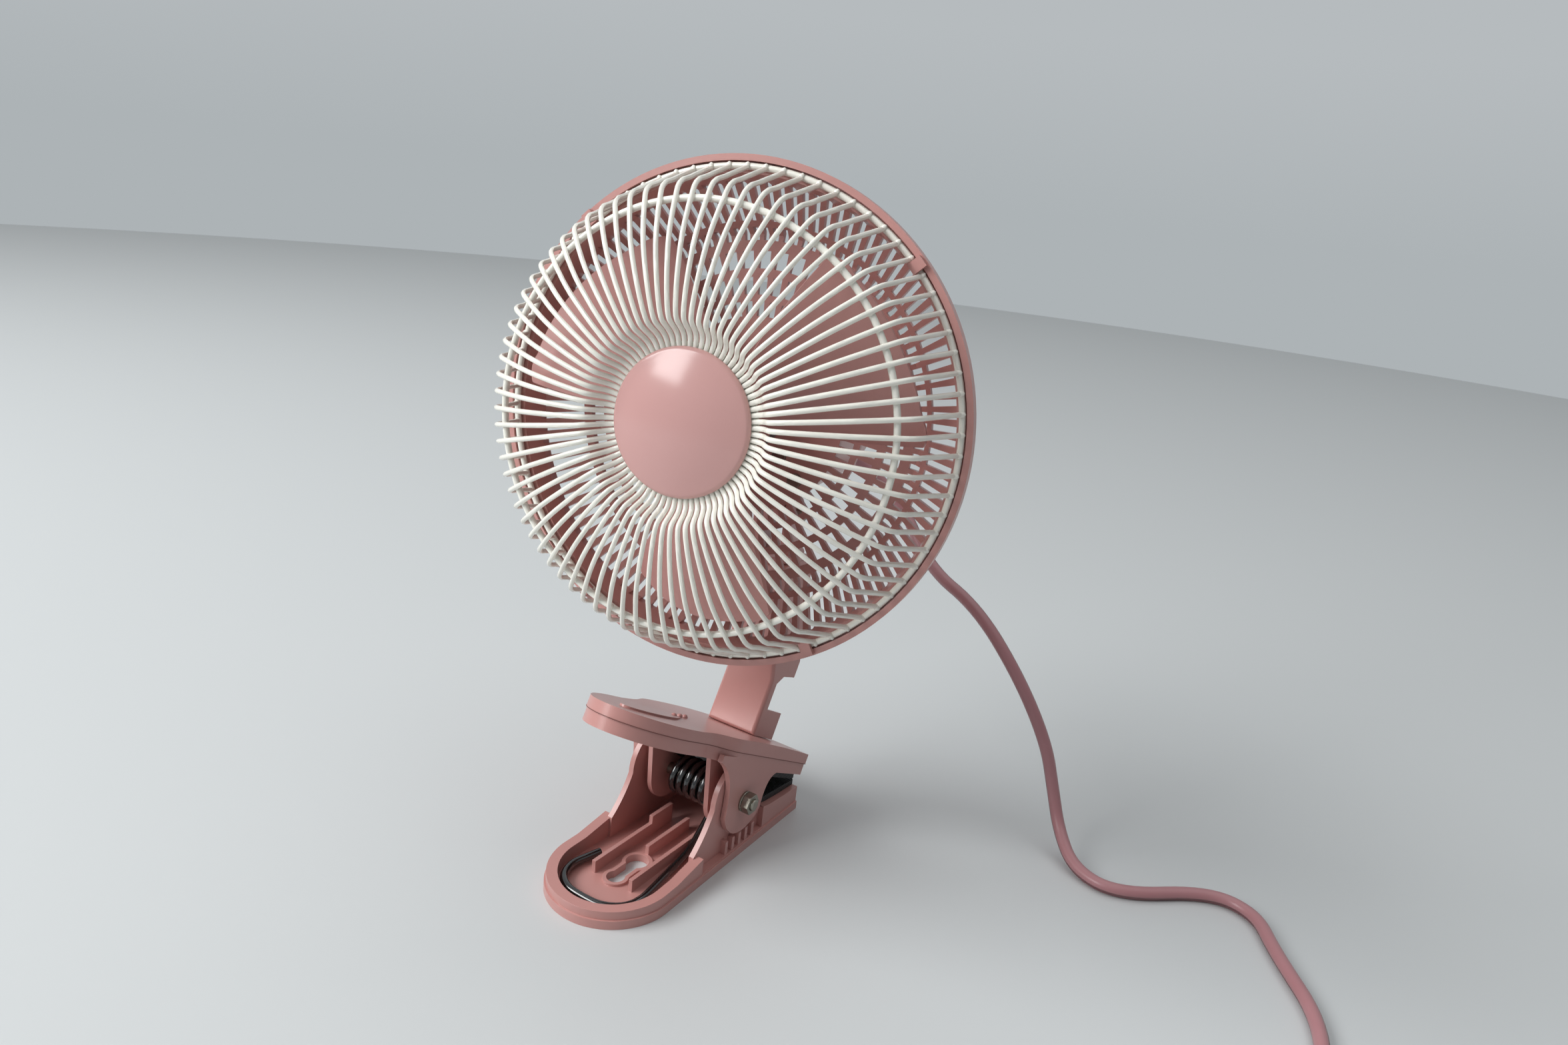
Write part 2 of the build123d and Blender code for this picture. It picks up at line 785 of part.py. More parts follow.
# ---------------------------------------------------------------- motor
bracket_radius = 30.5
bracket_front = -30.0
bracket_thickness = 3.0
bearing_radius = 8.0
bearing_length = 6.0
winding_outer = 25.0
winding_inner = 17.0
winding_length = 6.0
motor_bolt_circle = 27.6
motor_bolt_radius = 1.5
housing_screw_circle = 31.0
guard_screw_circle = 20.0
housing_boss_radius = 3.2
housing_boss_length = 10.5
rear_bracket_front = -74.0
housing_rear_radius = 33.0
boss_wall = 3.0


def turned(points):
    """A turned shape about the fan's axis from (radius, depth) points."""
    with BuildSketch(head_section, mode=Mode.PRIVATE) as profile:
        with BuildLine():
            Polyline(*points, close=True)
        make_face()
    revolve(profile.sketch, axis=spin_axis)


def ring_of(circle, count, radius, start_angle=0, extra=0):
    with PolarLocations(circle, count, start_angle=start_angle):
        Circle(radius + extra)


def bracket(front, boss_end):
    """A bearing bracket with its boss, its bolt holes and a bearing seat."""
    rear = front - bracket_thickness
    low = min(boss_end, rear)
    high = max(boss_end, front)
    turned([(0, front), (bracket_radius, front), (bracket_radius, rear), (0, rear)])
    turned([(0, high), (bearing_radius + boss_wall, high), (bearing_radius + boss_wall, low), (0, low)])
    with BuildSketch(head.offset(low - 1), mode=Mode.PRIVATE) as holes:
        Circle(bearing_radius)
        ring_of(motor_bolt_circle, 4, motor_bolt_radius, 0, pilot_gap)
    extrude(holes.sketch, amount=high - low + 2, mode=Mode.SUBTRACT)


with BuildPart() as front_bracket:
    bracket(bracket_front, bracket_front - bearing_length - 2)
    with BuildSketch(head.offset(bracket_front - bracket_thickness - 1)):
        ring_of(guard_screw_circle, 4, screw_shank_radius, 45, pilot_gap)
        ring_of(housing_screw_circle, 4, housing_boss_radius, 45, 0.3)
    extrude(amount=bracket_thickness + 2, mode=Mode.SUBTRACT)

finish(front_bracket.part, "front_bracket")

with BuildPart() as rear_bracket:
    bracket(rear_bracket_front, rear_bracket_front + 1.8)

finish(rear_bracket.part, "rear_bracket")

with BuildPart() as bearings:
    for front in (bracket_front - 2, rear_bracket_front + 1.8):
        turned([
            (shaft_radius + 0.03, front), (bearing_radius, front),
            (bearing_radius, front - 4.8), (shaft_radius + 0.03, front - 4.8),
        ])

finish(bearings.part, "bearings")

with BuildPart() as stator:
    turned([
        (rotor_radius + air_gap, stack_front), (stator_radius, stack_front),
        (stator_radius, stack_rear), (rotor_radius + air_gap, stack_rear),
    ])
    with BuildSketch(head.offset(stack_rear - 1)):
        ring_of(motor_bolt_circle, 4, motor_bolt_radius, 0, pilot_gap)
    extrude(amount=stack_front - stack_rear + 2, mode=Mode.SUBTRACT)

finish(stator.part, "stator")

with BuildPart() as windings:
    for front in (stack_front + winding_length, stack_rear):
        turned([
            (winding_inner, front), (winding_outer, front),
            (winding_outer, front - winding_length), (winding_inner, front - winding_length),
        ])

finish(windings.part, "windings")

with BuildPart() as motor_bolts:
    with Locations(head.offset(rear_bracket_front - bracket_thickness)):
        with PolarLocations(motor_bolt_circle, 4):
            Cylinder(
                motor_bolt_radius, bracket_front - rear_bracket_front + bracket_thickness,
                align=(Align.CENTER, Align.CENTER, Align.MIN),
            )
            Cylinder(
                screw_head_radius, screw_head_height,
                align=(Align.CENTER, Align.CENTER, Align.MAX),
            )

finish(motor_bolts.part, "motor_bolts")

shaft_front = 12.0
shaft_rear = -79.0

with BuildPart() as motor_shaft:
    turned([(0, shaft_rear), (shaft_radius, shaft_rear), (shaft_radius, shaft_front), (0, shaft_front)])

finish(motor_shaft.part, "motor_shaft")

with BuildPart() as rotor:
    turned([
        (shaft_radius, stack_front - 0.5), (rotor_radius, stack_front - 0.5),
        (rotor_radius, stack_rear + 0.5), (shaft_radius, stack_rear + 0.5),
    ])

finish(rotor.part, "rotor")


# ---------------------------------------------------------------- rear guard
groove_inner = 86.6
groove_outer = 90.6
groove_floor = -2.5
hub_plate_front = -28.0
hub_plate_rear = bracket_front
hub_hole = 13.0
window_count = 54
slot_count = 108
slot_outer = 85.4
slot_inner = 72.6
slot_width = 2.4
short_slot_outer = 70.4
short_slot_inner = 65.9
short_slot_width = 2.0
window_rows = ((58.7, 6.6, 4.6), (49.0, 6.6, 3.6), (40.4, 5.6, 2.7))
tab_width = 4.2
tab_inner = 87.0
tab_front = 2.2
tab_ring_gap = 0.3

def wire_gap(number):
    """Angle midway between two neighbouring wires of the grille."""
    return wire_phase + (number + 0.5) * 360 / wire_count


with BuildPart() as rear_guard:
    turned([
        (flange_radius, 0), (flange_radius, groove_floor - guard_wall),
        (88.4, groove_floor - guard_wall), (86.4, -14.8), (71.2, -27.8), (69.2, hub_plate_rear),
        (hub_hole, hub_plate_rear), (hub_hole, hub_plate_front), (68.0, hub_plate_front),
        (70.0, -26.0), (84.5, -14.0), (groove_inner, groove_floor), (groove_outer, groove_floor),
        (groove_outer, 0),
    ])
    # small tabs of the flange that hook over the ring, each midway between two wires
    with BuildSketch(head.offset(ring_wire / 2 - ring_back + tab_ring_gap)):
        for number in (9, -14, 29, -28):
            with PolarLocations((tab_inner + flange_radius) / 2 - 0.3, 1, start_angle=wire_gap(number)):
                Rectangle(flange_radius - tab_inner - 0.6, tab_width)
    extrude(amount=tab_front - ring_wire / 2 + ring_back - tab_ring_gap)
    with BuildSketch(head.offset(groove_floor)):
        for number in (9, -14, 29, -28):
            with PolarLocations((groove_outer + flange_radius) / 2 - 0.3, 1, start_angle=wire_gap(number)):
                Rectangle(flange_radius - groove_outer - 0.6, tab_width)
    extrude(amount=tab_front - groove_floor)
    # ladder of windows in the rear face, and slots in the slope outside it
    with BuildSketch(head.offset(hub_plate_rear - 1)):
        for middle, height, width in window_rows:
            with PolarLocations(middle, window_count):
                Rectangle(height, width)
        with PolarLocations((slot_outer + slot_inner) / 2, slot_count):
            Rectangle(slot_outer - slot_inner, slot_width)
        with PolarLocations((short_slot_outer + short_slot_inner) / 2, slot_count):
            Rectangle(short_slot_outer - short_slot_inner, short_slot_width)
        ring_of(guard_screw_circle, 4, screw_shank_radius, 45, 0.2)
        ring_of(housing_screw_circle, 4, screw_shank_radius, 45, 0.2)
    extrude(amount=20, mode=Mode.SUBTRACT)

finish(rear_guard.part, "rear_guard")


def screw_ring(circle, length):
    """Four screws driven from the front through the guard's hub plate."""
    with Locations(head.offset(hub_plate_front)):
        with PolarLocations(circle, 4, start_angle=45):
            Cylinder(screw_shank_radius, length, align=(Align.CENTER, Align.CENTER, Align.MAX))
            Cylinder(
                screw_head_radius, screw_head_height,
                align=(Align.CENTER, Align.CENTER, Align.MIN),
            )


with BuildPart() as guard_screws:
    screw_ring(guard_screw_circle, hub_plate_front - bracket_front + bracket_thickness)

finish(guard_screws.part, "guard_screws")

with BuildPart() as housing_screws:
    screw_ring(housing_screw_circle, hub_plate_front - bracket_front + housing_boss_length - 1.5)

finish(housing_screws.part, "housing_screws")


# ---------------------------------------------------------------- switch and strain relief places
switch_lift = 8.0
switch_pivot = -88.0
switch_radius = 7.0
switch_width = 8.3
switch_tip = 8.0
switch_flange = 1.5
relief_drop = 20.0
relief_length = 22.0
relief_bore = 3.6
relief_base_radius = 5.2
relief_taper = 4.2

# ---------------------------------------------------------------- motor housing
with BuildPart() as motor_housing:
    turned([
        (motor_radius, bracket_front), (motor_radius, -34.0), (housing_rear_radius, -86.0),
        (housing_rear_radius - 2.5, -90.5), (housing_rear_radius - 6.5, motor_rear), (0, motor_rear),
        (0, motor_rear + motor_wall), (housing_rear_radius - 7, motor_rear + motor_wall),
        (housing_rear_radius - motor_wall, -86.0), (motor_radius - motor_wall, -34.0),
        (motor_radius - motor_wall, bracket_front),
    ])
    with BuildSketch(head.offset(bracket_front)):
        ring_of(housing_screw_circle, 4, housing_boss_radius, 45)
    extrude(amount=-housing_boss_length)
    # the tongue that the yoke carries
    tongue_half = yoke_cheek_inner - moving_gap
    with BuildSketch(head_side.offset(-tongue_half)):
        with Locations((-hinge_depth, hinge_drop)):
            Circle(knuckle_radius)
        with Locations((-hinge_depth, (hinge_drop + 32.8) / 2)):
            Rectangle(2 * knuckle_radius, hinge_drop - 32.8)
    extrude(amount=2 * tongue_half)
    with BuildSketch(head_side.offset(-tongue_half - 1)):
        with Locations((-hinge_depth, hinge_drop)):
            Circle(tilt_bolt_radius + running_gap)
    extrude(amount=2 * tongue_half + 2, mode=Mode.SUBTRACT)
    # screw bores, switch opening, relief hole and cooling slots
    with BuildSketch(head.offset(bracket_front)):
        ring_of(housing_screw_circle, 4, screw_shank_radius, 45, pilot_gap)
    extrude(amount=1 - housing_boss_length, mode=Mode.SUBTRACT)
    with BuildSketch(head.offset(motor_rear - 1)):
        with Locations((0, switch_lift)):
            Rectangle(12.4, 18.4)
        with Locations((0, -relief_drop)):
            Circle(relief_bore + pilot_gap)
        for across in (-18, -13, 13, 18):
            with Locations((across, 0)):
                SlotCenterToCenter(18, 2.4, rotation=90)
    extrude(amount=motor_wall + 2, mode=Mode.SUBTRACT)

finish(motor_housing.part, "motor_housing")

# ---------------------------------------------------------------- rocker switch
with BuildPart() as switch_body:
    with BuildSketch(head.offset(motor_rear)):
        with Locations((0, switch_lift)):
            Rectangle(15, 21)
    extrude(amount=-switch_flange)
    with BuildSketch(head.offset(motor_rear)):
        with Locations((0, switch_lift)):
            Rectangle(12.2, 18.2)
    extrude(amount=12.5)
    with BuildSketch(head_side.offset(-switch_width / 2 - moving_gap)):
        with Locations((switch_pivot, -switch_lift)):
            Circle(switch_radius + moving_gap)
    extrude(amount=switch_width + 2 * moving_gap, mode=Mode.SUBTRACT)
    with BuildSketch(head_side.offset(-switch_width / 2 - 1.1)):
        with Locations((switch_pivot, -switch_lift)):
            Circle(1 + running_gap)
    extrude(amount=switch_width + 2.2, mode=Mode.SUBTRACT)

finish(switch_body.part, "switch_body")

with BuildPart() as switch_rocker:
    with BuildSketch(head_side.offset(-switch_width / 2)):
        with Locations((switch_pivot, -switch_lift)):
            Circle(switch_radius)
        with Locations(Location((switch_pivot, -switch_lift, 0), (0, 0, switch_tip))):
            with Locations((switch_radius + 1.5, 0)):
                Rectangle(2 * switch_radius, 2 * switch_radius, mode=Mode.SUBTRACT)
            with Locations((-switch_radius - 1.2, 0)):
                Circle(3.2, mode=Mode.SUBTRACT)
    extrude(amount=switch_width)
    with BuildSketch(head_side.offset(-switch_width / 2 - 0.9)):
        with Locations((switch_pivot, -switch_lift)):
            Circle(1)
    extrude(amount=switch_width + 1.8)

finish(switch_rocker.part, "switch_rocker")

with BuildPart() as strain_relief:
    with BuildSketch(head.offset(motor_rear + motor_wall)):
        with Locations((0, -relief_drop)):
            Circle(relief_bore)
    extrude(amount=-motor_wall)
    with BuildSketch(head.offset(motor_rear)):
        with Locations((0, -relief_drop)):
            Circle(relief_base_radius)
    extrude(amount=-relief_length, taper=relief_taper)

finish(strain_relief.part, "strain_relief")


# ---------------------------------------------------------------- fan blade
blade_wall = 1.8
blade_middle = -1.0
bore_gap = 0.03


def blade_section(radius, chord, pitch, crown):
    """A thin cambered section across the blade at a radius, set at a pitch."""
    lean = math.radians(pitch)
    place = Plane(
        origin=(radius, 0, blade_middle), x_dir=(0, math.cos(lean), math.sin(lean)), z_dir=(1, 0, 0)
    )
    with BuildSketch(place, mode=Mode.PRIVATE) as section:
        with BuildLine():
            ThreePointArc((-chord / 2, 0), (0, crown), (chord / 2, 0))
            Line((chord / 2, 0), (chord / 2, -blade_wall))
            ThreePointArc((chord / 2, -blade_wall), (0, crown - blade_wall), (-chord / 2, -blade_wall))
            Line((-chord / 2, -blade_wall), (-chord / 2, 0))
        make_face()
    return section.sketch


with BuildPart() as one_blade:
    loft([
        blade_section(blade_hub_radius - 2, 24, 38, 2.0),
        blade_section(44, 60, 28, 5.0),
        blade_section(blade_tip_radius + 2, 84, 20, 7.0),
    ])
    with BuildSketch(Plane.XY.offset(-40)):
        with BuildLine():
            Line((11, -11), (11, 11))
            ThreePointArc((11, 11), (34, 27), (54, 36))
            ThreePointArc((54, 36), (62.5, 35.4), (68.6, 25.8))
            ThreePointArc((68.6, 25.8), (blade_tip_radius, 0), (68.6, -25.8))
            ThreePointArc((68.6, -25.8), (62.5, -35.4), (54, -36))
            ThreePointArc((54, -36), (34, -27), (11, -11))
        make_face()
    extrude(amount=80, mode=Mode.INTERSECT)

with BuildPart() as fan_blade:
    turned([
        (shaft_radius + bore_gap, -14), (7.5, -14), (7.5, 4), (blade_hub_radius - 2, 4),
        (blade_hub_radius - 2, -14), (blade_hub_radius, -14), (blade_hub_radius, 4),
        (blade_hub_radius - 2.5, 7), (shaft_radius + bore_gap, 7),
    ])
    with Locations(head):
        with PolarLocations(0, blade_count, start_angle=30):
            add(one_blade.part)
    with BuildSketch(head.offset(-15)):
        Circle(blade_hub_radius - 2)
        Circle(7.5, mode=Mode.SUBTRACT)
    extrude(amount=19, mode=Mode.SUBTRACT)

finish(fan_blade.part, "fan_blade")

with BuildPart() as blade_nut:
    turned([
        (shaft_radius + 0.02, 7), (7, 7), (7, 12), (5, 15.5), (0, 16.5), (0, shaft_front + 1),
        (shaft_radius + 0.02, shaft_front + 1),
    ])

finish(blade_nut.part, "blade_nut")


# ---------------------------------------------------------------- front grille
wire_profile = [
    (wire_inner_radius, 29.3), (30.3, 30.5), (33.2, 35.4), (36.2, 37.7), (40.1, 38.2),
    (45.9, 38.0), (53.8, 36.8), (61.6, 34.9), (68.4, 32.1), (74.3, 29.1), (79.6, 25.5),
    (ring_radius, -ring_back),
]
hub_ring_inner = 20.0
hub_ring_outer = 27.6
hub_ring_front = 29.0
hub_ring_rear = 27.6

with BuildPart() as spoke:
    with BuildSketch(Plane.XZ):
        with BuildLine():
            Polyline(*wire_profile)
        trace(line_width=grille_wire)
    extrude(amount=grille_wire / 2, both=True)

with BuildPart() as front_grille:
    for radius, depth in ((ring_radius, -ring_back), (mid_ring_radius, mid_ring_front)):
        with BuildSketch(head_section):
            with Locations((radius, depth)):
                Circle(ring_wire / 2)
        revolve(axis=spin_axis)
    turned([
        (hub_ring_inner, hub_ring_front), (hub_ring_outer, hub_ring_front),
        (hub_ring_outer, hub_ring_rear), (hub_ring_inner, hub_ring_rear),
    ])
    with Locations(head):
        with PolarLocations(0, wire_count, start_angle=wire_phase):
            add(spoke.part)

finish(front_grille.part, "front_grille")


# ---------------------------------------------------------------- centre badge
badge_radius = 25.9
badge_wall = 2.0
badge_rim = 33.2
badge_front = 37.6
badge_edge = 1.4
badge_dome_radius = 80.0
badge_boss_spacing = 24.0


def dome(radius, inset):
    """Three places along the badge's dome, from its middle out to a radius."""
    dome_radius = badge_dome_radius - inset
    places = []
    for share in (0, 0.5, 1):
        drop = dome_radius - math.sqrt(dome_radius**2 - (share * radius) ** 2)
        places.append((share * radius, badge_front - inset - drop))
    return places


with BuildPart() as centre_badge:
    with BuildSketch(head_section):
        with BuildLine():
            ThreePointArc(*dome(badge_radius - badge_edge, 0))
            Line(dome(badge_radius - badge_edge, 0)[2], (badge_radius, badge_rim - badge_edge / 2))
            Polyline(
                (badge_radius, badge_rim - badge_edge / 2), (badge_radius, hub_ring_front),
                (badge_radius - badge_wall, hub_ring_front),
                dome(badge_radius - badge_wall, badge_wall)[2],
            )
            ThreePointArc(*dome(badge_radius - badge_wall, badge_wall))
            Line((0, badge_front - badge_wall), (0, badge_front))
        make_face()
    revolve(axis=spin_axis)
    with BuildSketch(head.offset(hub_ring_rear)):
        with GridLocations(badge_boss_spacing, 1, 2, 1):
            Circle(3)
    extrude(amount=badge_front - 2.6 - hub_ring_rear)
    with BuildSketch(head.offset(hub_ring_rear)):
        with GridLocations(badge_boss_spacing, 1, 2, 1):
            Circle(screw_shank_radius + pilot_gap)
    extrude(amount=4.5, mode=Mode.SUBTRACT)

finish(centre_badge.part, "centre_badge")

badge_plate_thickness = 1.6

with BuildPart() as badge_plate:
    with BuildSketch(head.offset(hub_ring_rear)):
        Circle(hub_ring_outer - 3)
        with GridLocations(badge_boss_spacing, 1, 2, 1):
            Circle(screw_shank_radius + 0.2, mode=Mode.SUBTRACT)
    extrude(amount=-badge_plate_thickness)

finish(badge_plate.part, "badge_plate")

with BuildPart() as badge_screws:
    with Locations(head.offset(hub_ring_rear - badge_plate_thickness)):
        with GridLocations(badge_boss_spacing, 1, 2, 1):
            Cylinder(
                screw_shank_radius, badge_plate_thickness + 4,
                align=(Align.CENTER, Align.CENTER, Align.MIN),
            )
            Cylinder(
                screw_head_radius, screw_head_height,
                align=(Align.CENTER, Align.CENTER, Align.MAX),
            )

finish(badge_screws.part, "badge_screws")


# ---------------------------------------------------------------- power cord
coil_layer = 6.2
coil_out_turns = coil_turns - 0.5
coil_entry = math.radians(182.4)
cord_height = cord_diameter / 2
plug_half_thickness = 6.9


def coil_place(turn):
    """Place and heading on the put-away coil after a number of turns from its outer end."""
    angle = coil_entry + 2 * math.pi * turn
    climb = min(max((turn - coil_turns) / 0.5, 0), 1)
    inward = min(turn, coil_turns + 0.25)
    outward = max(turn - coil_turns - 0.25, 0)
    radius = coil_outer_radius - cord_diameter / 2 - coil_step * (inward - outward)
    past = turn - coil_turns - 0.25
    slope = math.copysign(coil_step, past) if abs(past) > 0.1 else 0
    rise = 2 * coil_layer / math.pi if abs(past) <= 0.1 else 0
    place = Vector(
        coil_centre[0] + radius * math.cos(angle),
        coil_centre[1] + radius * math.sin(angle),
        cord_height + coil_layer * climb,
    )
    heading = Vector(
        slope / (2 * math.pi) * math.cos(angle) - radius * math.sin(angle),
        slope / (2 * math.pi) * math.sin(angle) + radius * math.cos(angle),
        rise,
    )
    return place, heading.normalized()


with BuildPart() as cord_coil:
    loops = coil_turns + 0.5 + coil_out_turns
    stations = [coil_place(loops * number / 24) for number in range(25)]
    entry, entry_heading = stations[0]
    leave, leave_heading = stations[-1]
    cord_end = entry - entry_heading * cord_diameter
    bridge = leave + leave_heading * 10
    landing = bridge + leave_heading * 44 + Vector(0, 0, plug_half_thickness - leave.Z)
    coil_end = landing + leave_heading * cord_diameter
    with BuildLine() as coil_path:
        Line(cord_end, entry)
        winding(stations)
        Line(leave, bridge)
        biarc(bridge, leave_heading, landing, leave_heading)
        Line(landing, coil_end)
    with BuildSketch(Plane(origin=cord_end, z_dir=entry_heading)):
        Circle(cord_diameter / 2)
    sweep(path=coil_path.wires()[0])

finish(cord_coil.part, "cord_coil")
print("coil least gap", round(least_gap(coil_path.wires()[0], cord_diameter, 50), 3))

relief_end = head.offset(motor_rear - relief_length).from_local_coords((0, -relief_drop, 0))
cord_route = [
    relief_end,
    relief_end - head_axis * 16,
    Vector(2, 120, 147),
    Vector(22, 126, 130),
    Vector(46, 110.7, 108.6),
    Vector(75.9, 102.5, 99.7),
    Vector(102, 98.3, 75.4),
    Vector(118.9, 101.6, 47.2),
    Vector(125.5, 103, 26),
    Vector(133, 98, 10),
    Vector(146, 84, cord_height),
    Vector(167, 79, cord_height),
    Vector(198, 108.5, cord_height),
    Vector(218.5, 106, cord_height),
    Vector(229.5, 84, cord_height),
    cord_end - entry_heading * 44,
    cord_end,
]
cord_radii = []
for before, here, after in zip(cord_route, cord_route[1:], cord_route[2:]):
    turn_angle = (here - before).get_angle(after - here)
    shorter = min((here - before).length, (after - here).length)
    cord_radii.append(0.45 * shorter / math.tan(math.radians(turn_angle) / 2))

with BuildPart() as power_cord:
    with BuildLine() as cord_path:
        FilletPolyline(*cord_route, radius=cord_radii)
    with BuildSketch(Plane(origin=cord_route[0], z_dir=cord_route[1] - cord_route[0])):
        Circle(cord_diameter / 2)
    sweep(path=cord_path.wires()[0])

finish(power_cord.part, "power_cord")
cord_length = cord_path.wires()[0].length
print("cord radii", [round(radius, 1) for radius in cord_radii])
print("cord length", round(cord_length), "coil length", round(coil_path.wires()[0].length))
print("cord volume over section times length",
      round(power_cord.part.volume / (math.pi * cord_diameter**2 / 4 * cord_length), 4))


# ---------------------------------------------------------------- plug
pin_radius = 2.0
pin_length = 19.0
pin_spacing = 19.0
plug_length = 33.0
pin_socket = 8.0
pin_root_radius = 1.7

plug_frame = Plane(
    origin=coil_end, x_dir=leave_heading.cross(Vector(0, 0, 1)), z_dir=leave_heading
)

with BuildPart() as plug_body:
    for depth, width, height in ((0, 8, 8), (9, 13, 11), (17, 27, 2 * plug_half_thickness)):
        with BuildSketch(plug_frame.offset(depth)):
            RectangleRounded(width, height, 3.2)
    loft(ruled=True)
    with BuildSketch(plug_frame.offset(17)):
        RectangleRounded(27, 2 * plug_half_thickness, 3.2)
    extrude(amount=plug_length - 17)
    with BuildSketch(plug_frame.offset(plug_length)):
        with GridLocations(pin_spacing, 1, 2, 1):
            Circle(pin_root_radius + bore_gap)
    extrude(amount=-pin_socket, mode=Mode.SUBTRACT)

finish(plug_body.part, "plug_body")

with BuildPart() as plug_pins:
    with Locations(plug_frame.offset(plug_length)):
        with GridLocations(pin_spacing, 1, 2, 1):
            Cylinder(pin_radius, pin_length, align=(Align.CENTER, Align.CENTER, Align.MIN))
            Cylinder(pin_root_radius, pin_socket, align=(Align.CENTER, Align.CENTER, Align.MAX))

finish(plug_pins.part, "plug_pins")
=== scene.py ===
import json
import math
import bmesh
import bpy
from mathutils import Matrix, Vector

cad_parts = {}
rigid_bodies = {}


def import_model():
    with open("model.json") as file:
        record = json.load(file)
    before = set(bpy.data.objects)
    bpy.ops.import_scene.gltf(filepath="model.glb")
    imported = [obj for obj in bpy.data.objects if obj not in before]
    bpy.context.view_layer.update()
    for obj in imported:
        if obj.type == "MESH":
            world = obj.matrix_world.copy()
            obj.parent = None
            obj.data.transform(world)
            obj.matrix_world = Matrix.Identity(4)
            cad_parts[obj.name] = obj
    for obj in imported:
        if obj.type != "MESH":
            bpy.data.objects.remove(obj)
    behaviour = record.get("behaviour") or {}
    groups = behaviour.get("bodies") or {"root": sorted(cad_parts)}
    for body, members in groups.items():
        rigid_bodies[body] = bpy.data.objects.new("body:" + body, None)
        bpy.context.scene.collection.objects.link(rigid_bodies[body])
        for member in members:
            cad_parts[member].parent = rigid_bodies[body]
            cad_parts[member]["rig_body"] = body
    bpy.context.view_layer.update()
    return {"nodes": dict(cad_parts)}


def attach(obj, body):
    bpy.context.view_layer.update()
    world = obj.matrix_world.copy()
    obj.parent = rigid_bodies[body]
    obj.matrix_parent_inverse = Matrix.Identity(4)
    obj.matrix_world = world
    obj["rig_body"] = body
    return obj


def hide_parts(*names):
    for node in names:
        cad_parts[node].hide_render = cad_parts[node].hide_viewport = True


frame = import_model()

# Clip fan in dusty-rose plastic: wire guard, domed hub badge, spring clip and mains lead.
# Metres, in the frame of the solids. Sizes are written in millimetres and turned by MM.
MM = 0.001
scene = bpy.context.scene
nodes = frame["nodes"]


# ---------------------------------------------------------------- camera
# fitted to the photograph: azimuth, elevation and roll in degrees, place in metres
CAMERA_ANGLES, CAMERA_PLACE = (30.57, 17.44, 6.43), (0.2349, -0.3475, 0.2770)
CAMERA_SENSOR, CAMERA_LENS, CAMERA_CLIP = 36, 25.19, 0.01


def add_camera():
    azimuth, elevation, roll = (math.radians(a) for a in CAMERA_ANGLES)
    back = Vector((
        math.sin(azimuth) * math.cos(elevation),
        -math.cos(azimuth) * math.cos(elevation),
        math.sin(elevation),
    ))
    level = (-back).cross(Vector((0, 0, 1))).normalized()
    upright = level.cross(-back)
    right = math.cos(roll) * level + math.sin(roll) * upright
    up = -math.sin(roll) * level + math.cos(roll) * upright
    turn = Matrix((right, up, back)).transposed().to_4x4()
    bpy.ops.object.camera_add()
    camera = bpy.context.object
    camera.name = "camera"
    camera.matrix_world = Matrix.Translation(CAMERA_PLACE) @ turn
    camera.data.sensor_width = CAMERA_SENSOR
    camera.data.lens = CAMERA_LENS
    camera.data.clip_start = CAMERA_CLIP
    scene.camera = camera


bpy.ops.object.select_all(action="DESELECT")
add_camera()

# ---------------------------------------------------------------- the fan head's place
HEAD_PAN, HEAD_TILT = math.radians(9.9), math.radians(5.9)
HINGE = Vector((0, 45.0, 139.3)) * MM
# from the tilt hinge to the middle of the guard's ring, along the fan's axis and above it
HEAD_REACH, HEAD_RISE = 74.2, 44.0
axis = Vector((
    math.sin(HEAD_PAN) * math.cos(HEAD_TILT),
    -math.cos(HEAD_PAN) * math.cos(HEAD_TILT),
    math.sin(HEAD_TILT),
))
across = Vector((math.cos(HEAD_PAN), math.sin(HEAD_PAN), 0))
upward = axis.cross(across)
CENTRE = HINGE + axis * HEAD_REACH * MM + upward * HEAD_RISE * MM
HEAD = Matrix.Translation(CENTRE) @ Matrix((across, upward, axis)).transposed().to_4x4()


def head_place(depth, up):
    """A place on the head in metres, from millimetres in front of and above its middle."""
    return CENTRE + (axis * depth + upward * up) * MM


# ---------------------------------------------------------------- power cord
CORD = 5.6
COIL_CENTRE = (293.0, 2.0)
COIL_OUTER, COIL_STEP, COIL_LAYER, COIL_TURNS = 40.0, 6.2, 6.2, 2.5
COIL_ENTRY = math.radians(182.4)
COIL_POINTS_PER_TURN = 14
RELIEF_DEPTH, RELIEF_DROP = -114.0, -20.0
PLUG_HALF_THICKNESS = 6.9
# the part of the lead that the photograph shows, from behind the guard to the coil
CORD_ROUTE = (
    (2, 120, 147), (22, 126, 130), (46, 110.7, 108.6), (75.9, 102.5, 99.7), (102, 98.3, 75.4),
    (118.9, 101.6, 47.2), (125.5, 103, 26), (133, 98, 10), (146, 84, 2.8), (167, 79, 2.8),
    (198, 108.5, 2.8), (218.5, 106, 2.8), (229.5, 84, 2.8),
)


def coil_spot(turn):
    """Place on the put-away coil: inwards on the floor, a layer up, and outwards again."""
    angle = COIL_ENTRY + 2 * math.pi * turn
    climb = min(max((turn - COIL_TURNS) / 0.5, 0), 1)
    inward = min(turn, COIL_TURNS + 0.25) - max(turn - COIL_TURNS - 0.25, 0)
    radius = COIL_OUTER - CORD / 2 - COIL_STEP * inward
    return Vector((
        COIL_CENTRE[0] + radius * math.cos(angle),
        COIL_CENTRE[1] + radius * math.sin(angle),
        CORD / 2 + COIL_LAYER * climb,
    ))


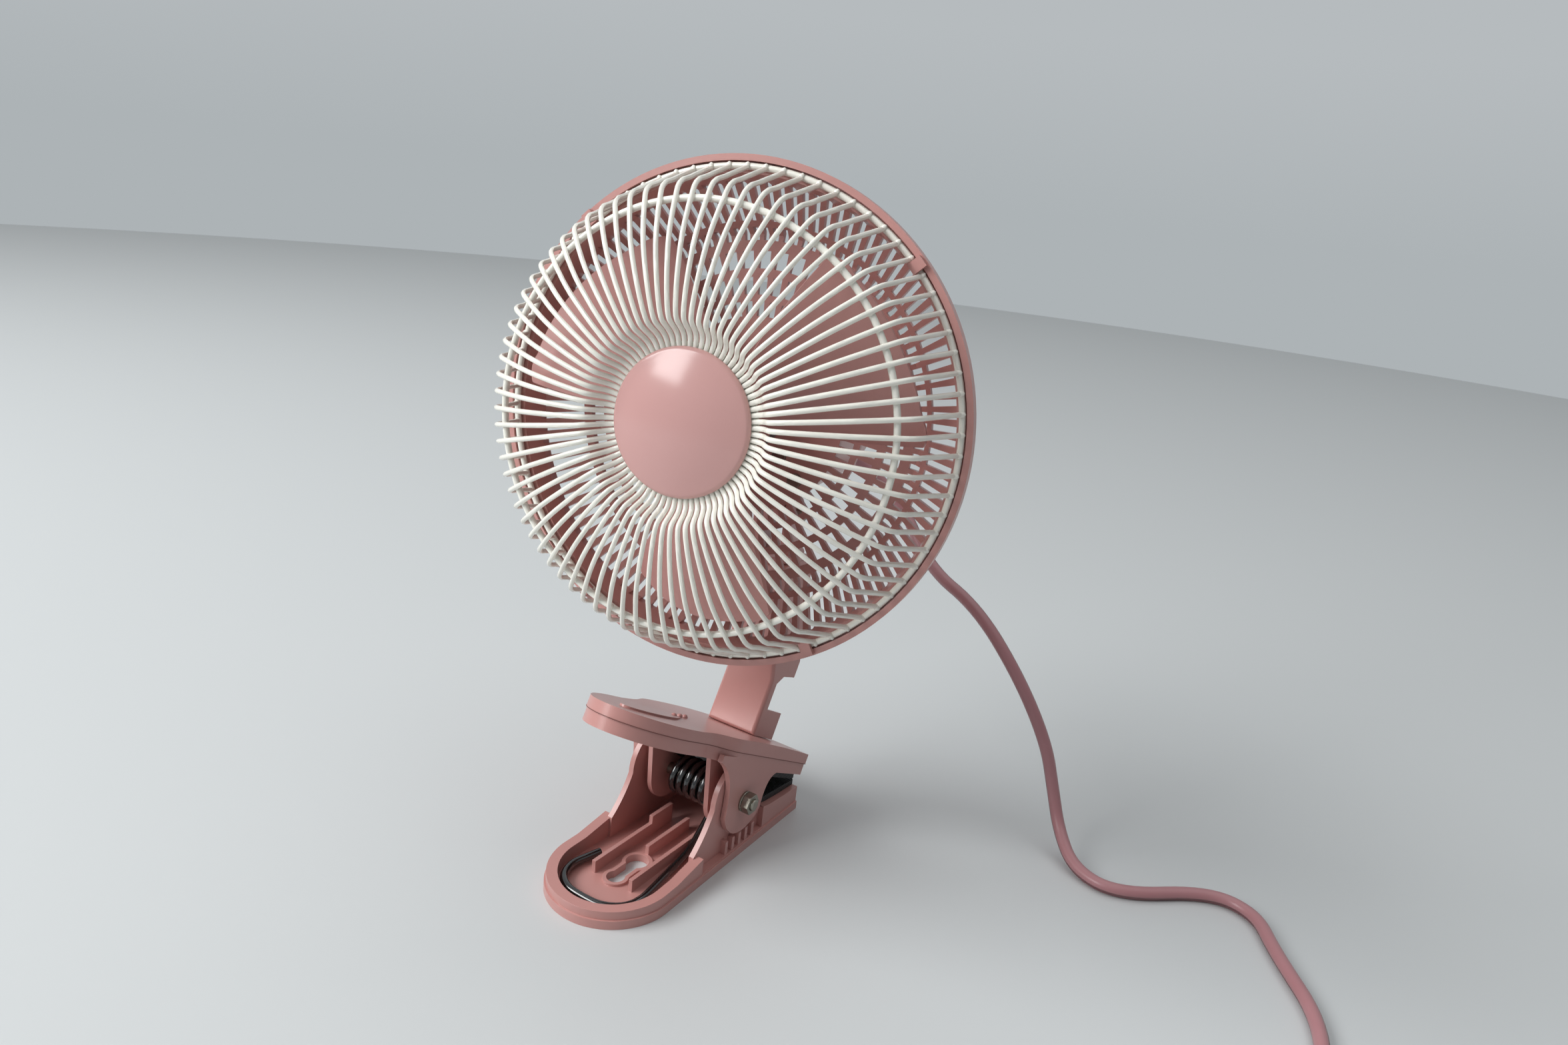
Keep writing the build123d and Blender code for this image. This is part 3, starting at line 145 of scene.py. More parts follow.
def cord_points():
    """The lead's route in millimetres: relief, droop, floor, coil and plug."""
    start = head_place(RELIEF_DEPTH, RELIEF_DROP) / MM
    entry = coil_spot(0)
    heading = (coil_spot(0.001) - entry).normalized()
    coil_start = entry - heading * CORD
    route = [start, start - axis * 16]
    route += [Vector(spot) for spot in CORD_ROUTE]
    route += [coil_start - heading * 44, coil_start]
    turns = 2 * COIL_TURNS
    steps = int(turns * COIL_POINTS_PER_TURN)
    route += [coil_spot(turns * number / steps) for number in range(steps + 1)]
    leave = route[-1]
    heading = leave - coil_spot(turns - 0.001)
    heading.z = 0
    heading.normalize()
    drop = Vector((0, 0, PLUG_HALF_THICKNESS - leave.z))
    route += [leave + heading * 10, leave + heading * 24]
    route += [leave + heading * reach + drop for reach in (40, 54, 54 + CORD)]
    return [spot * MM for spot in route]


def smooth_line(name, points, thickness, resolution):
    """One open NURBS tube through a list of places, in metres."""
    data = bpy.data.curves.new(name, "CURVE")
    data.dimensions = "3D"
    spline = data.splines.new("NURBS")
    spline.points.add(len(points) - 1)
    for point, place in zip(spline.points, points):
        point.co = (*place, 1)
    spline.order_u = 3
    spline.use_endpoint_u = True
    data.resolution_u = resolution
    data.bevel_depth = thickness * MM / 2
    data.bevel_resolution = 6
    data.use_fill_caps = True
    made = bpy.data.objects.new(name, data)
    scene.collection.objects.link(made)
    return made


power_cord = smooth_line("mains_cord", cord_points(), CORD, 8)


# ---------------------------------------------------------------- material tools
def linear(code):
    """An sRGB hex colour as the linear colour that shaders take."""
    parts = [int(code[place:place + 2], 16) / 255 for place in (1, 3, 5)]
    return (
        *(c / 12.92 if c <= 0.04045 else ((c + 0.055) / 1.055) ** 2.4 for c in parts), 1.0,
    )


def add_node(tree, kind, settings=None, sockets=None):
    """Adds a shader node, sets its properties, and fills or links its input sockets."""
    made = tree.nodes.new(kind)
    for name, value in (settings or {}).items():
        setattr(made, name, value)
    for name, value in (sockets or {}).items():
        if isinstance(value, bpy.types.NodeSocket):
            tree.links.new(value, made.inputs[name])
        else:
            made.inputs[name].default_value = value
    return made


def new_material(name):
    """An empty material with its shader, and the object coordinates that patterns read."""
    made = bpy.data.materials.new(name)
    made.use_nodes = True
    tree = made.node_tree
    tree.nodes.clear()
    shader = add_node(tree, "ShaderNodeBsdfPrincipled")
    add_node(tree, "ShaderNodeOutputMaterial", None, {"Surface": shader.outputs["BSDF"]})
    place = add_node(tree, "ShaderNodeTexCoord")
    return made, tree, shader, place.outputs["Object"]


def between(tree, share, low, high):
    """A colour ramp from one hex colour to another, driven by a share."""
    ramp = add_node(tree, "ShaderNodeValToRGB", None, {"Fac": share})
    ramp.color_ramp.elements[0].color = linear(low)
    ramp.color_ramp.elements[1].color = linear(high)
    ramp.color_ramp.elements[0].position = 0.2
    ramp.color_ramp.elements[1].position = 0.8
    return ramp.outputs["Color"]


def moulded(name, low, high, roughness, blotch, grain, relief, coat=0.0, ior=1.53, spread=0.015):
    """Moulded plastic or dipped coating: slow colour drift, fine relief that breaks up its gloss.

    blotch and grain are the sizes of the two patterns in millimetres."""
    made, tree, shader, spot = new_material(name)
    slow = add_node(tree, "ShaderNodeTexNoise", None, {
        "Vector": spot, "Scale": 1000 / blotch, "Detail": 3.0,
    })
    fine = add_node(tree, "ShaderNodeTexNoise", None, {
        "Vector": spot, "Scale": 1000 / grain, "Detail": 2.0,
    })
    rough = add_node(tree, "ShaderNodeMapRange", None, {
        "Value": slow.outputs["Fac"], "From Min": 0.15, "From Max": 0.85,
        "To Min": roughness - spread, "To Max": roughness + spread,
    })
    bump = add_node(tree, "ShaderNodeBump", None, {
        "Height": fine.outputs["Fac"], "Strength": 1.0, "Distance": relief * MM,
    })
    tree.links.new(between(tree, slow.outputs["Fac"], low, high), shader.inputs["Base Color"])
    tree.links.new(rough.outputs["Result"], shader.inputs["Roughness"])
    tree.links.new(bump.outputs["Normal"], shader.inputs["Normal"])
    shader.inputs["IOR"].default_value = ior
    if coat:
        shader.inputs["Coat Weight"].default_value = coat
        shader.inputs["Coat Roughness"].default_value = 0.08
    return made


def metal(name, low, high, roughness, streak, relief):
    """Bare or plated metal with fine streaks as long across X as they are thin along Z."""
    made, tree, shader, spot = new_material(name)
    laid = add_node(tree, "ShaderNodeMapping", None, {"Vector": spot, "Scale": (0.2, 1.0, 1.0)})
    lines = add_node(tree, "ShaderNodeTexNoise", None, {
        "Vector": laid.outputs["Vector"], "Scale": 1000 / streak, "Detail": 4.0,
    })
    rough = add_node(tree, "ShaderNodeMapRange", None, {
        "Value": lines.outputs["Fac"], "From Min": 0.3, "From Max": 0.7,
        "To Min": roughness - 0.08, "To Max": roughness + 0.08,
    })
    bump = add_node(tree, "ShaderNodeBump", None, {
        "Height": lines.outputs["Fac"], "Strength": 1.0, "Distance": relief * MM,
    })
    tree.links.new(between(tree, lines.outputs["Fac"], low, high), shader.inputs["Base Color"])
    tree.links.new(rough.outputs["Result"], shader.inputs["Roughness"])
    tree.links.new(bump.outputs["Normal"], shader.inputs["Normal"])
    shader.inputs["Metallic"].default_value = 1.0
    return made


# ---------------------------------------------------------------- materials
# injection-moulded ABS in dusty rose: even colour, soft wide gloss, a faint orange peel
rose_abs = moulded("rose_moulded_abs", "#c08b85", "#c48f89", 0.3, 60, 1.4, 0.012)
# the same ABS darkened: painted shade of a narrow joint
shaded_joint = moulded("rose_abs_joint_shade", "#7a4a45", "#80504b", 0.6, 60, 1.4, 0.012)
# the hub badge is polished ABS: the same rose, a little lighter, and clearly mirror-like
badge_abs = moulded("rose_polished_abs", "#ca9b97", "#cd9e9a", 0.17, 90, 3.0, 0.004)
# fan blades of the same ABS, less glossy and a shade pinker
blade_abs = moulded("rose_blade_abs", "#c5918c", "#c99590", 0.36, 70, 1.6, 0.014)
# epoxy-dipped steel wire: ivory, glossy, with slight runs in the coating
ivory_coat = moulded(
    "ivory_epoxy_coated_wire", "#edebe1", "#f4f3ea", 0.26, 9, 2.2, 0.03, coat=0.3, ior=1.5,
)
# black enamelled spring steel: deep black under a hard clear gloss
black_enamel = moulded(
    "black_enamelled_spring_steel", "#0a0a0b", "#101011", 0.2, 12, 1.2, 0.006, coat=1.0, ior=1.5,
)
RIB_PITCH, RIB_RELIEF, RUBBER_GRAIN, RUBBER_RELIEF = 1.2, 0.35, 0.6, 0.02
# the ribs follow the lever's slope
RIB_TURN = math.radians(27.5)


def ribbed_rubber(name, low, high):
    """Moulded nitrile rubber with fine ribs across the jaw, a little coarser than they are."""
    made, tree, shader, spot = new_material(name)
    laid = add_node(tree, "ShaderNodeMapping", None, {
        "Vector": spot, "Rotation": (RIB_TURN, 0, 0),
    })
    ribs = add_node(tree, "ShaderNodeTexWave", {"bands_direction": "Y"}, {
        "Vector": laid.outputs["Vector"], "Scale": 2 * math.pi / (20 * RIB_PITCH * MM),
    })
    grain = add_node(tree, "ShaderNodeTexNoise", None, {
        "Vector": spot, "Scale": 1000 / RUBBER_GRAIN, "Detail": 2.0,
    })
    fine = add_node(tree, "ShaderNodeBump", None, {
        "Height": grain.outputs["Fac"], "Strength": 1.0, "Distance": RUBBER_RELIEF * MM,
    })
    deep = add_node(tree, "ShaderNodeBump", None, {
        "Height": ribs.outputs["Fac"], "Strength": 1.0, "Distance": RIB_RELIEF * MM,
        "Normal": fine.outputs["Normal"],
    })
    # darker in the rib hollows and lighter on the crests: painted shade that follows the rib relief
    tree.links.new(between(tree, ribs.outputs["Fac"], low, high), shader.inputs["Base Color"])
    tree.links.new(deep.outputs["Normal"], shader.inputs["Normal"])
    shader.inputs["Roughness"].default_value = 0.52
    shader.inputs["IOR"].default_value = 1.52
    return made


# nitrile rubber: near-black and dull, with fine ribs and a matt grain, its colour darker in the rib
# hollows as painted shade
nitrile = ribbed_rubber("black_nitrile_rubber", "#0e0f10", "#1b1c1d")
# black moulded nylon of the switch
black_nylon = moulded("black_moulded_nylon", "#131314", "#1a1a1b", 0.38, 20, 0.8, 0.015)
# white print-free inlay of the rocker's marks
white_inlay = moulded("white_moulded_inlay", "#dededa", "#e8e8e4", 0.4, 12, 0.9, 0.006)
# soft PVC of the plug and the strain relief
rose_pvc = moulded("rose_soft_pvc", "#a87579", "#b07d81", 0.42, 20, 0.9, 0.02, ior=1.52)
# bright zinc-plated steel of screws, nut and washers
zinc_plate = metal("zinc_plated_steel", "#8c887d", "#aaa69b", 0.36, 2.4, 0.006)
# ground steel shaft
ground_steel = metal("ground_steel", "#a3a6a8", "#c4c7c9", 0.24, 0.8, 0.003)
# stacked electrical-steel sheets, oiled and dark
lamination = metal("electrical_steel_laminations", "#3c3c3e", "#57585a", 0.5, 0.7, 0.02)
# die-cast aluminium brackets
die_cast = metal("die_cast_aluminium", "#9a9c9e", "#b9bbbd", 0.48, 1.8, 0.02)
# lacquered copper coils
copper_wire = metal("lacquered_copper_wire", "#8f4a2a", "#b5693f", 0.36, 0.6, 0.03)
# nickel-plated brass pins
nickel_brass = metal("nickel_plated_brass", "#b5ab92", "#d6ceb8", 0.26, 1.6, 0.004)


def flat_twin_pvc():
    """Flat twin lead in rose PVC, two round halves: a darker band along both flats is painted shade
    of the dip between them, drawn on a round tube.
    """
    made, tree, shader, spot = new_material("rose_flat_twin_pvc")
    uv = add_node(tree, "ShaderNodeTexCoord").outputs["UV"]
    parts = add_node(tree, "ShaderNodeSeparateXYZ", None, {"Vector": uv})
    # twice round the section: 0 on both grooves, 1 midway between them
    turn = add_node(tree, "ShaderNodeMath", {"operation": "MULTIPLY"}, {
        0: parts.outputs["Y"], 1: 4 * math.pi,
    })
    wave = add_node(tree, "ShaderNodeMath", {"operation": "COSINE"}, {0: turn.outputs[0]})
    lobe = add_node(tree, "ShaderNodeMapRange", {"interpolation_type": "SMOOTHSTEP"}, {
        "Value": wave.outputs[0], "From Min": -1.0, "From Max": -0.72, "To Min": 0.0, "To Max": 1.0,
    })
    slow = add_node(tree, "ShaderNodeTexNoise", None, {
        "Vector": spot, "Scale": 40.0, "Detail": 3.0,
    })
    jacket = between(tree, slow.outputs["Fac"], "#a87579", "#b17f83")
    groove_shade = add_node(tree, "ShaderNodeMix", {"data_type": "RGBA"}, {
        "Factor": lobe.outputs["Result"],
    })
    # sockets 6 and 7 are the painted shade of the grooves and the jacket colour, and output 2 is
    # their mix
    groove_shade.inputs[6].default_value = linear("#7a4f52")
    tree.links.new(jacket, groove_shade.inputs[7])
    bump = add_node(tree, "ShaderNodeBump", None, {
        "Height": lobe.outputs["Result"], "Strength": 1.0, "Distance": 0.5 * MM,
    })
    tree.links.new(groove_shade.outputs[2], shader.inputs["Base Color"])
    tree.links.new(bump.outputs["Normal"], shader.inputs["Normal"])
    shader.inputs["Roughness"].default_value = 0.36
    shader.inputs["IOR"].default_value = 1.52
    return made


cord_jacket = flat_twin_pvc()


# ---------------------------------------------------------------- modelling tools
WELD_GAP, FLAT_ANGLE, EDGE_ANGLE, CORNER_ANGLE = 0.002, 0.4, 28, 50


def select_only(made):
    bpy.ops.object.select_all(action="DESELECT")
    made.select_set(True)
    bpy.context.view_layer.objects.active = made


def smooth(angle):
    """Smooth shading of the selected piece, with sharp edges above an angle in degrees."""
    bpy.ops.object.shade_smooth_by_angle(angle=math.radians(angle))


def settle(made, place):
    """Puts a modelled piece in its place and leaves its object at the origin."""
    made.matrix_world = place
    select_only(made)
    bpy.ops.object.transform_apply(location=True, rotation=True, scale=True)


def dress(made, body, material, slot, *replaced):
    made.data.materials.clear()
    made.data.materials.append(material)
    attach(made, body)
    if replaced:
        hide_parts(*replaced)


def softened(node, name, width, material, slot, segments=2, rounded=None, radius=1.0):
    """A copy of a solid with its edges rounded as its mould or press leaves them.

    The sharp edges that rounded() picks by their place, in millimetres, are rounded more first."""
    made = bpy.data.objects.new(name, nodes[node].data.copy())
    scene.collection.objects.link(made)
    select_only(made)
    bpy.ops.mesh.customdata_custom_splitnormals_clear()
    bpy.ops.object.mode_set(mode="EDIT")
    bpy.ops.mesh.select_all(action="SELECT")
    bpy.ops.mesh.remove_doubles(threshold=WELD_GAP * MM)
    bpy.ops.mesh.dissolve_limited(angle_limit=math.radians(FLAT_ANGLE))
    if rounded:
        bpy.ops.mesh.select_mode(type="EDGE")
        bpy.ops.mesh.select_all(action="DESELECT")
        mesh = bmesh.from_edit_mesh(made.data)
        for edge in mesh.edges:
            if len(edge.link_faces) == 2 and edge.calc_face_angle() > math.radians(CORNER_ANGLE):
                edge.select = all(rounded(vertex.co / MM) for vertex in edge.verts)
        bmesh.update_edit_mesh(made.data)
        bpy.ops.mesh.bevel(offset=radius * MM, segments=4, affect="EDGES", clamp_overlap=True)
        bpy.ops.mesh.select_mode(type="VERT")
    bpy.ops.object.mode_set(mode="OBJECT")
    rounding = made.modifiers.new("edges", "BEVEL")
    rounding.width = width * MM
    rounding.segments = segments
    rounding.limit_method = "ANGLE"
    rounding.angle_limit = math.radians(EDGE_ANGLE)
    rounding.use_clamp_overlap = True
    bpy.ops.object.modifier_apply(modifier=rounding.name)
    weighted = made.modifiers.new("shading", "WEIGHTED_NORMAL")
    weighted.keep_sharp = False
    smooth(40)
    bpy.ops.object.modifier_apply(modifier=weighted.name)
    dress(made, nodes[node]["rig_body"], material, slot, node)
    return made


def turned(name, profile, sides, pointed=False):
    """A turned piece about Z, drawn out ring by ring from (radius, height) points.

    A pointed one has its last ring drawn together to close it."""
    first = profile[0]
    bpy.ops.object.select_all(action="DESELECT")
    bpy.ops.mesh.primitive_circle_add(
        vertices=sides, radius=first[0] * MM, location=(0, 0, first[1] * MM)
    )
    made = bpy.context.object
    made.name = name
    bpy.ops.object.transform_apply(location=True)
    bpy.ops.object.mode_set(mode="EDIT")
    for before, after in zip(profile, profile[1:]):
        bpy.ops.mesh.extrude_region_move(
            TRANSFORM_OT_translate={"value": (0, 0, (after[1] - before[1]) * MM)}
        )
        share = after[0] / before[0]
        bpy.ops.transform.resize(value=(share, share, 1), center_override=(0, 0, after[1] * MM))
    if pointed:
        bpy.ops.mesh.merge(type="CENTER")
    bpy.ops.mesh.select_all(action="SELECT")
    bpy.ops.mesh.remove_doubles(threshold=0.001 * MM)
    bpy.ops.mesh.normals_make_consistent(inside=False)
    bpy.ops.object.mode_set(mode="OBJECT")
    return made


def joined(pieces, name):
    bpy.ops.object.select_all(action="DESELECT")
    for piece in pieces:
        piece.select_set(True)
    bpy.context.view_layer.objects.active = pieces[0]
    bpy.ops.object.join()
    pieces[0].name = name
    return pieces[0]


# ---------------------------------------------------------------- clip, neck and yoke
LEVER_REAR, LEVER_ANGLE, SEAM_DEPTH = Vector((0, 51.9, 25.6)), math.radians(27.5), 4.5
LEVER_ARCH_SPAN, LEVER_ARCH_RISE = 91.0, 1.2
NECK_HALF_WIDTH, NECK_FRONT = 12.5, 34.5
# a place on the neck's leaning front, as depth and height, and its depth gained per height
NECK_LEAN_DEPTH, NECK_LEAN_HEIGHT, NECK_LEAN = 22.76, 42.17, 0.5317
JOINT_SHADE_RADIUS = 0.17


def on_lever_rim(spot):
    """Whether a place lies on the outer rim of the lever's gently arched top."""
    away = spot - LEVER_REAR
    along = -away.y * math.cos(LEVER_ANGLE) + away.z * math.sin(LEVER_ANGLE)
    height = away.y * math.sin(LEVER_ANGLE) + away.z * math.cos(LEVER_ANGLE)
    half = LEVER_ARCH_SPAN / 2
    arch = max(0, LEVER_ARCH_RISE * (1 - ((along - half) / half) ** 2))
    return abs(height - arch) < 0.12 and (abs(spot.x) > 8 or along < 1 or along > 121)


def on_neck_front(spot):
    """Whether a place lies on one of the two long corners of the neck's leaning front."""
    front = min(NECK_LEAN_DEPTH + NECK_LEAN * (spot.z - NECK_LEAN_HEIGHT), NECK_FRONT)
    return abs(spot.x) > NECK_HALF_WIDTH - 0.1 and abs(spot.y - front) < 0.2


softened("lower_jaw", "clip_base", 0.4, rose_abs, "rose_abs")
softened("upper_lever", "clip_lever", 0.3, rose_abs, "rose_abs", rounded=on_lever_rim, radius=1.1)


def joint_shade_line():
    """A fine dark tube round the lever where its upper band overlaps the lower one: painted shade
    of the narrow joint.
    """
    made = bpy.data.objects.new("lever_joint_shade", nodes["upper_lever"].data.copy())
    scene.collection.objects.link(made)
    select_only(made)
    bpy.ops.object.mode_set(mode="EDIT")
    bpy.ops.mesh.select_all(action="SELECT")
    bpy.ops.mesh.remove_doubles(threshold=WELD_GAP * MM)
    upright = Vector((0, math.sin(LEVER_ANGLE), math.cos(LEVER_ANGLE)))
    bpy.ops.mesh.bisect(
        plane_co=(LEVER_REAR - upright * (SEAM_DEPTH - 0.05)) * MM, plane_no=upright,
        clear_inner=True, clear_outer=True,
    )
    bpy.ops.mesh.separate(type="LOOSE")
    bpy.ops.object.mode_set(mode="OBJECT")
    loops = sorted(bpy.context.selected_objects, key=lambda part: part.dimensions.length)
    made = loops.pop()
    for part in loops:
        bpy.data.objects.remove(part)
    made.name = "lever_joint_shade"
    select_only(made)
    bpy.ops.object.convert(target="CURVE")
    made.data.bevel_depth = JOINT_SHADE_RADIUS * MM
    made.data.bevel_resolution = 1
    bpy.ops.object.convert(target="MESH")
    dress(made, "lever", shaded_joint, "rose_abs")


joint_shade_line()
softened("lower_pad", "jaw_pad_lower", 0.3, nitrile, "pad_rubber")
softened("upper_pad", "jaw_pad_upper", 0.15, nitrile, "pad_rubber")
softened("neck", "neck_post", 0.3, rose_abs, "rose_abs", rounded=on_neck_front, radius=1.7)
softened("pan_yoke", "swivel_yoke", 0.4, rose_abs, "rose_abs")
for node, name, width in (
    ("pivot_bolt", "clip_bolt", 0.2), ("pivot_nut", "clip_nut", 0.3),
    ("pivot_washers", "clip_washers", 0.15), ("neck_screws", "neck_post_screws", 0.2),
    ("swivel_washer", "yoke_washer", 0.15), ("swivel_screw", "yoke_screw", 0.2),
    ("tilt_bolt", "yoke_bolt", 0.2), ("tilt_nut", "yoke_nut", 0.3),
):
    softened(node, name, width, zinc_plate, "zinc_steel")

# ---------------------------------------------------------------- torsion spring
PIVOT_HEIGHT = 25.3
SPRING_WIRE, SPRING_RADIUS, SPRING_PITCH, SPRING_TURNS = 3.3, 7.1, 3.85, 5
SPRING_LOW, SPRING_HIGH = math.radians(-57.4), math.radians(47.6)
SPRING_SIDE, LEG_FLOOR = 10.7, 4.6
SPRING_POINTS_PER_TURN, SPRING_BEND = 16, -33.0


def spring_spot(angle):
    """Place on the coil after turning through an angle from its lower end."""
    turned_to = SPRING_LOW + angle
    return Vector((
        SPRING_SIDE - SPRING_PITCH / (2 * math.pi) * angle,
        SPRING_RADIUS * math.cos(turned_to),
        PIVOT_HEIGHT + SPRING_RADIUS * math.sin(turned_to),
    ))


def spring_points():
    """The spring's line in millimetres: the leg round the base, the coil and the upper leg."""
    sweep = SPRING_HIGH - SPRING_LOW + 2 * math.pi * SPRING_TURNS
    steps = SPRING_POINTS_PER_TURN * SPRING_TURNS
    swell = 1 / math.cos(sweep / steps / 2) ** 2
    coil = []
    for number in range(steps + 1):
        spot = spring_spot(sweep * number / steps)
        height = PIVOT_HEIGHT + (spot.z - PIVOT_HEIGHT) * swell
        coil.append(Vector((spot.x, spot.y * swell, height)))
    low, high = spring_spot(0), spring_spot(sweep)
    low_heading = (spring_spot(0.001) - low).normalized()
    high_heading = (high - spring_spot(sweep - 0.001)).normalized()
    foot = low - low_heading * ((low.z - LEG_FLOOR) / low_heading.z)
    bend = high + high_heading * ((high.y - SPRING_BEND) / -high_heading.y)
    leg = [
        Vector((-14.6, -43.5, LEG_FLOOR)), Vector((-16.3, -50.5, LEG_FLOOR)),
        Vector((-17.9, -56.5, LEG_FLOOR)), Vector((-15.6, -64.6, LEG_FLOOR)),
        Vector((-8.6, -69.6, LEG_FLOOR)), Vector((0, -70.0, LEG_FLOOR)),
        Vector((8.6, -69.6, LEG_FLOOR)), Vector((15.8, -64.8, LEG_FLOOR)),
        Vector((18.3, -57.5, LEG_FLOOR)), Vector((17.0, -48.0, LEG_FLOOR)),
        foot + Vector((0.7, -5.5, 0.1)), foot + low_heading * 2.5, low - low_heading * 9,
        low - low_heading * 3,
    ]
    top = [
        high + high_heading * 3, high + high_heading * 9, bend - high_heading * 5,
        bend + Vector((0, -math.cos(LEVER_ANGLE), math.sin(LEVER_ANGLE))) * 4,
        bend + Vector((0, -math.cos(LEVER_ANGLE), math.sin(LEVER_ANGLE))) * 12,
    ]
    return [spot * MM for spot in leg + coil + top]


spring = smooth_line("clip_spring", spring_points(), SPRING_WIRE, 4)
spring.data.bevel_resolution = 5
select_only(spring)
bpy.ops.object.convert(target="MESH")
smooth(40)
dress(spring, "lever", black_enamel, "black_spring", "torsion_spring")

# ---------------------------------------------------------------- motor, guard and blade
softened("motor_housing", "motor_cover", 0.5, rose_abs, "rose_abs")
softened("rear_guard", "rear_guard_shell", 0.25, rose_abs, "rose_abs")
softened("fan_blade", "blade_wheel", 0.35, blade_abs, "blade_plastic")
softened("blade_nut", "blade_cap_nut", 0.4, black_nylon, "black_plastic")
softened("switch_body", "rocker_frame", 0.25, black_nylon, "black_plastic")
softened("switch_rocker", "rocker_key", 0.3, black_nylon, "black_plastic")
softened("guard_screws", "rear_guard_screws", 0.2, zinc_plate, "zinc_steel")
softened("housing_screws", "motor_cover_screws", 0.2, zinc_plate, "zinc_steel")
softened("badge_plate", "badge_back_plate", 0.2, rose_abs, "rose_abs")
softened("badge_screws", "badge_back_screws", 0.2, zinc_plate, "zinc_steel")
for node, material in (
    ("front_bracket", die_cast), ("rear_bracket", die_cast), ("bearings", ground_steel),
    ("stator", lamination), ("rotor", lamination), ("windings", copper_wire),
    ("motor_bolts", zinc_plate), ("motor_shaft", ground_steel),
):
    nodes[node].data.materials.clear()
    nodes[node].data.materials.append(material)

# ---------------------------------------------------------------- rocker marks
ROCKER_DEPTH, ROCKER_LIFT, ROCKER_RADIUS = -88.0, 8.0, 7.0
BAR_TURN, RING_TURN = 44, -37


def rocker_mark(made, turn):
    """Sets an inlaid mark flush on the rocker's round face, a turn above its middle."""
    outward = upward * math.sin(math.radians(turn)) - axis * math.cos(math.radians(turn))
    around = outward.cross(across)
    place = head_place(ROCKER_DEPTH, ROCKER_LIFT) + outward * ROCKER_RADIUS * MM
    facing = Matrix((across, around, outward)).transposed().to_4x4()
    settle(made, Matrix.Translation(place) @ facing)
    return made


def rocker_marks():
    """The moulded-in I and O of the switch."""
    bpy.ops.object.select_all(action="DESELECT")
    bpy.ops.mesh.primitive_cube_add(size=1 * MM)
    bar = bpy.context.object
    bar.scale = (0.5, 2.2, 0.34)
    bpy.ops.object.transform_apply(location=True, rotation=True, scale=True)
    bpy.ops.object.mode_set(mode="EDIT")
    bpy.ops.mesh.select_all(action="SELECT")
    bpy.ops.mesh.bevel(offset=0.08 * MM, segments=2, affect="EDGES")
    bpy.ops.object.mode_set(mode="OBJECT")
    bpy.ops.object.select_all(action="DESELECT")
    bpy.ops.mesh.primitive_torus_add(
        major_radius=1.15 * MM, minor_radius=0.24 * MM, major_segments=36, minor_segments=10
    )
    ring_mark = bpy.context.object
    ring_mark.scale = (0.86, 1.0, 0.8)
    bpy.ops.object.transform_apply(location=True, rotation=True, scale=True)
    return joined([rocker_mark(bar, BAR_TURN), rocker_mark(ring_mark, RING_TURN)], "rocker_marks")


marks = rocker_marks()
smooth(40)
dress(marks, nodes["switch_rocker"]["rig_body"], white_inlay, "ivory_wire")

# ---------------------------------------------------------------- front grille
RING_RADIUS, RING_WIRE, RING_DEPTH = 88.8, 2.45, -1.0
MID_RADIUS, MID_DEPTH = 74.3, 27.4
WIRE, WIRE_COUNT, WIRE_PHASE = 1.84, 80, 1.9
WELD_LIFT, MID_WELD, RING_WELD = 0.9, 1.35, 1.3
# one wire from the hub to the outer ring, as (radius, depth)
WIRE_LINE = (
    (24.6, 31.0), (27.2, 31.1), (29.6, 31.8), (31.3, 33.2), (33.1, 35.7), (34.8, 37.5),
    (37.4, 38.2), (40.8, 38.3), (45.9, 38.0),
    (53.8, 36.8), (61.6, 34.9), (68.4, 32.1), (74.3, 29.1), (79.6, 25.5), (82.6, 17.5),
    (85.8, 8.0), (88.6, -0.6),
)


def grille_wire():
    """One bent wire with a flattened weld where it crosses each ring."""
    data = bpy.data.curves.new("grille_wire", "CURVE")
    data.dimensions = "3D"
    spline = data.splines.new("BEZIER")
    spline.bezier_points.add(len(WIRE_LINE) - 1)
    for point, (radius, depth) in zip(spline.bezier_points, WIRE_LINE):
        point.co = (radius * MM, 0, depth * MM)
        point.handle_left_type = "AUTO"
        point.handle_right_type = "AUTO"
    data.resolution_u = 3
    data.bevel_depth = WIRE * MM / 2
    data.bevel_resolution = 2
    wire = bpy.data.objects.new("grille_wire", data)
    scene.collection.objects.link(wire)
    select_only(wire)
    bpy.ops.object.convert(target="MESH")
    pieces = [wire]
    for radius, depth, size in (
        (MID_RADIUS, MID_DEPTH + WELD_LIFT, MID_WELD),
        (RING_RADIUS, RING_DEPTH + WELD_LIFT, RING_WELD),
    ):
        bpy.ops.object.select_all(action="DESELECT")
        bpy.ops.mesh.primitive_uv_sphere_add(
            segments=8, ring_count=6, radius=size * MM, location=(radius * MM, 0, depth * MM)
        )
        weld = bpy.context.object
        weld.scale = (1.2, 0.9, 0.8)
        bpy.ops.object.transform_apply(location=True, rotation=True, scale=True)
        pieces.append(weld)
    return joined(pieces, "grille_wire")


def ring(radius, depth, thickness):
    """A round wire ring about the fan's axis."""
    bpy.ops.object.select_all(action="DESELECT")
    bpy.ops.mesh.primitive_torus_add(
        major_radius=radius * MM, minor_radius=thickness * MM / 2, major_segments=200,
        minor_segments=12, location=(0, 0, depth * MM),
    )
    made = bpy.context.object
    bpy.ops.object.transform_apply(location=True)
    return made


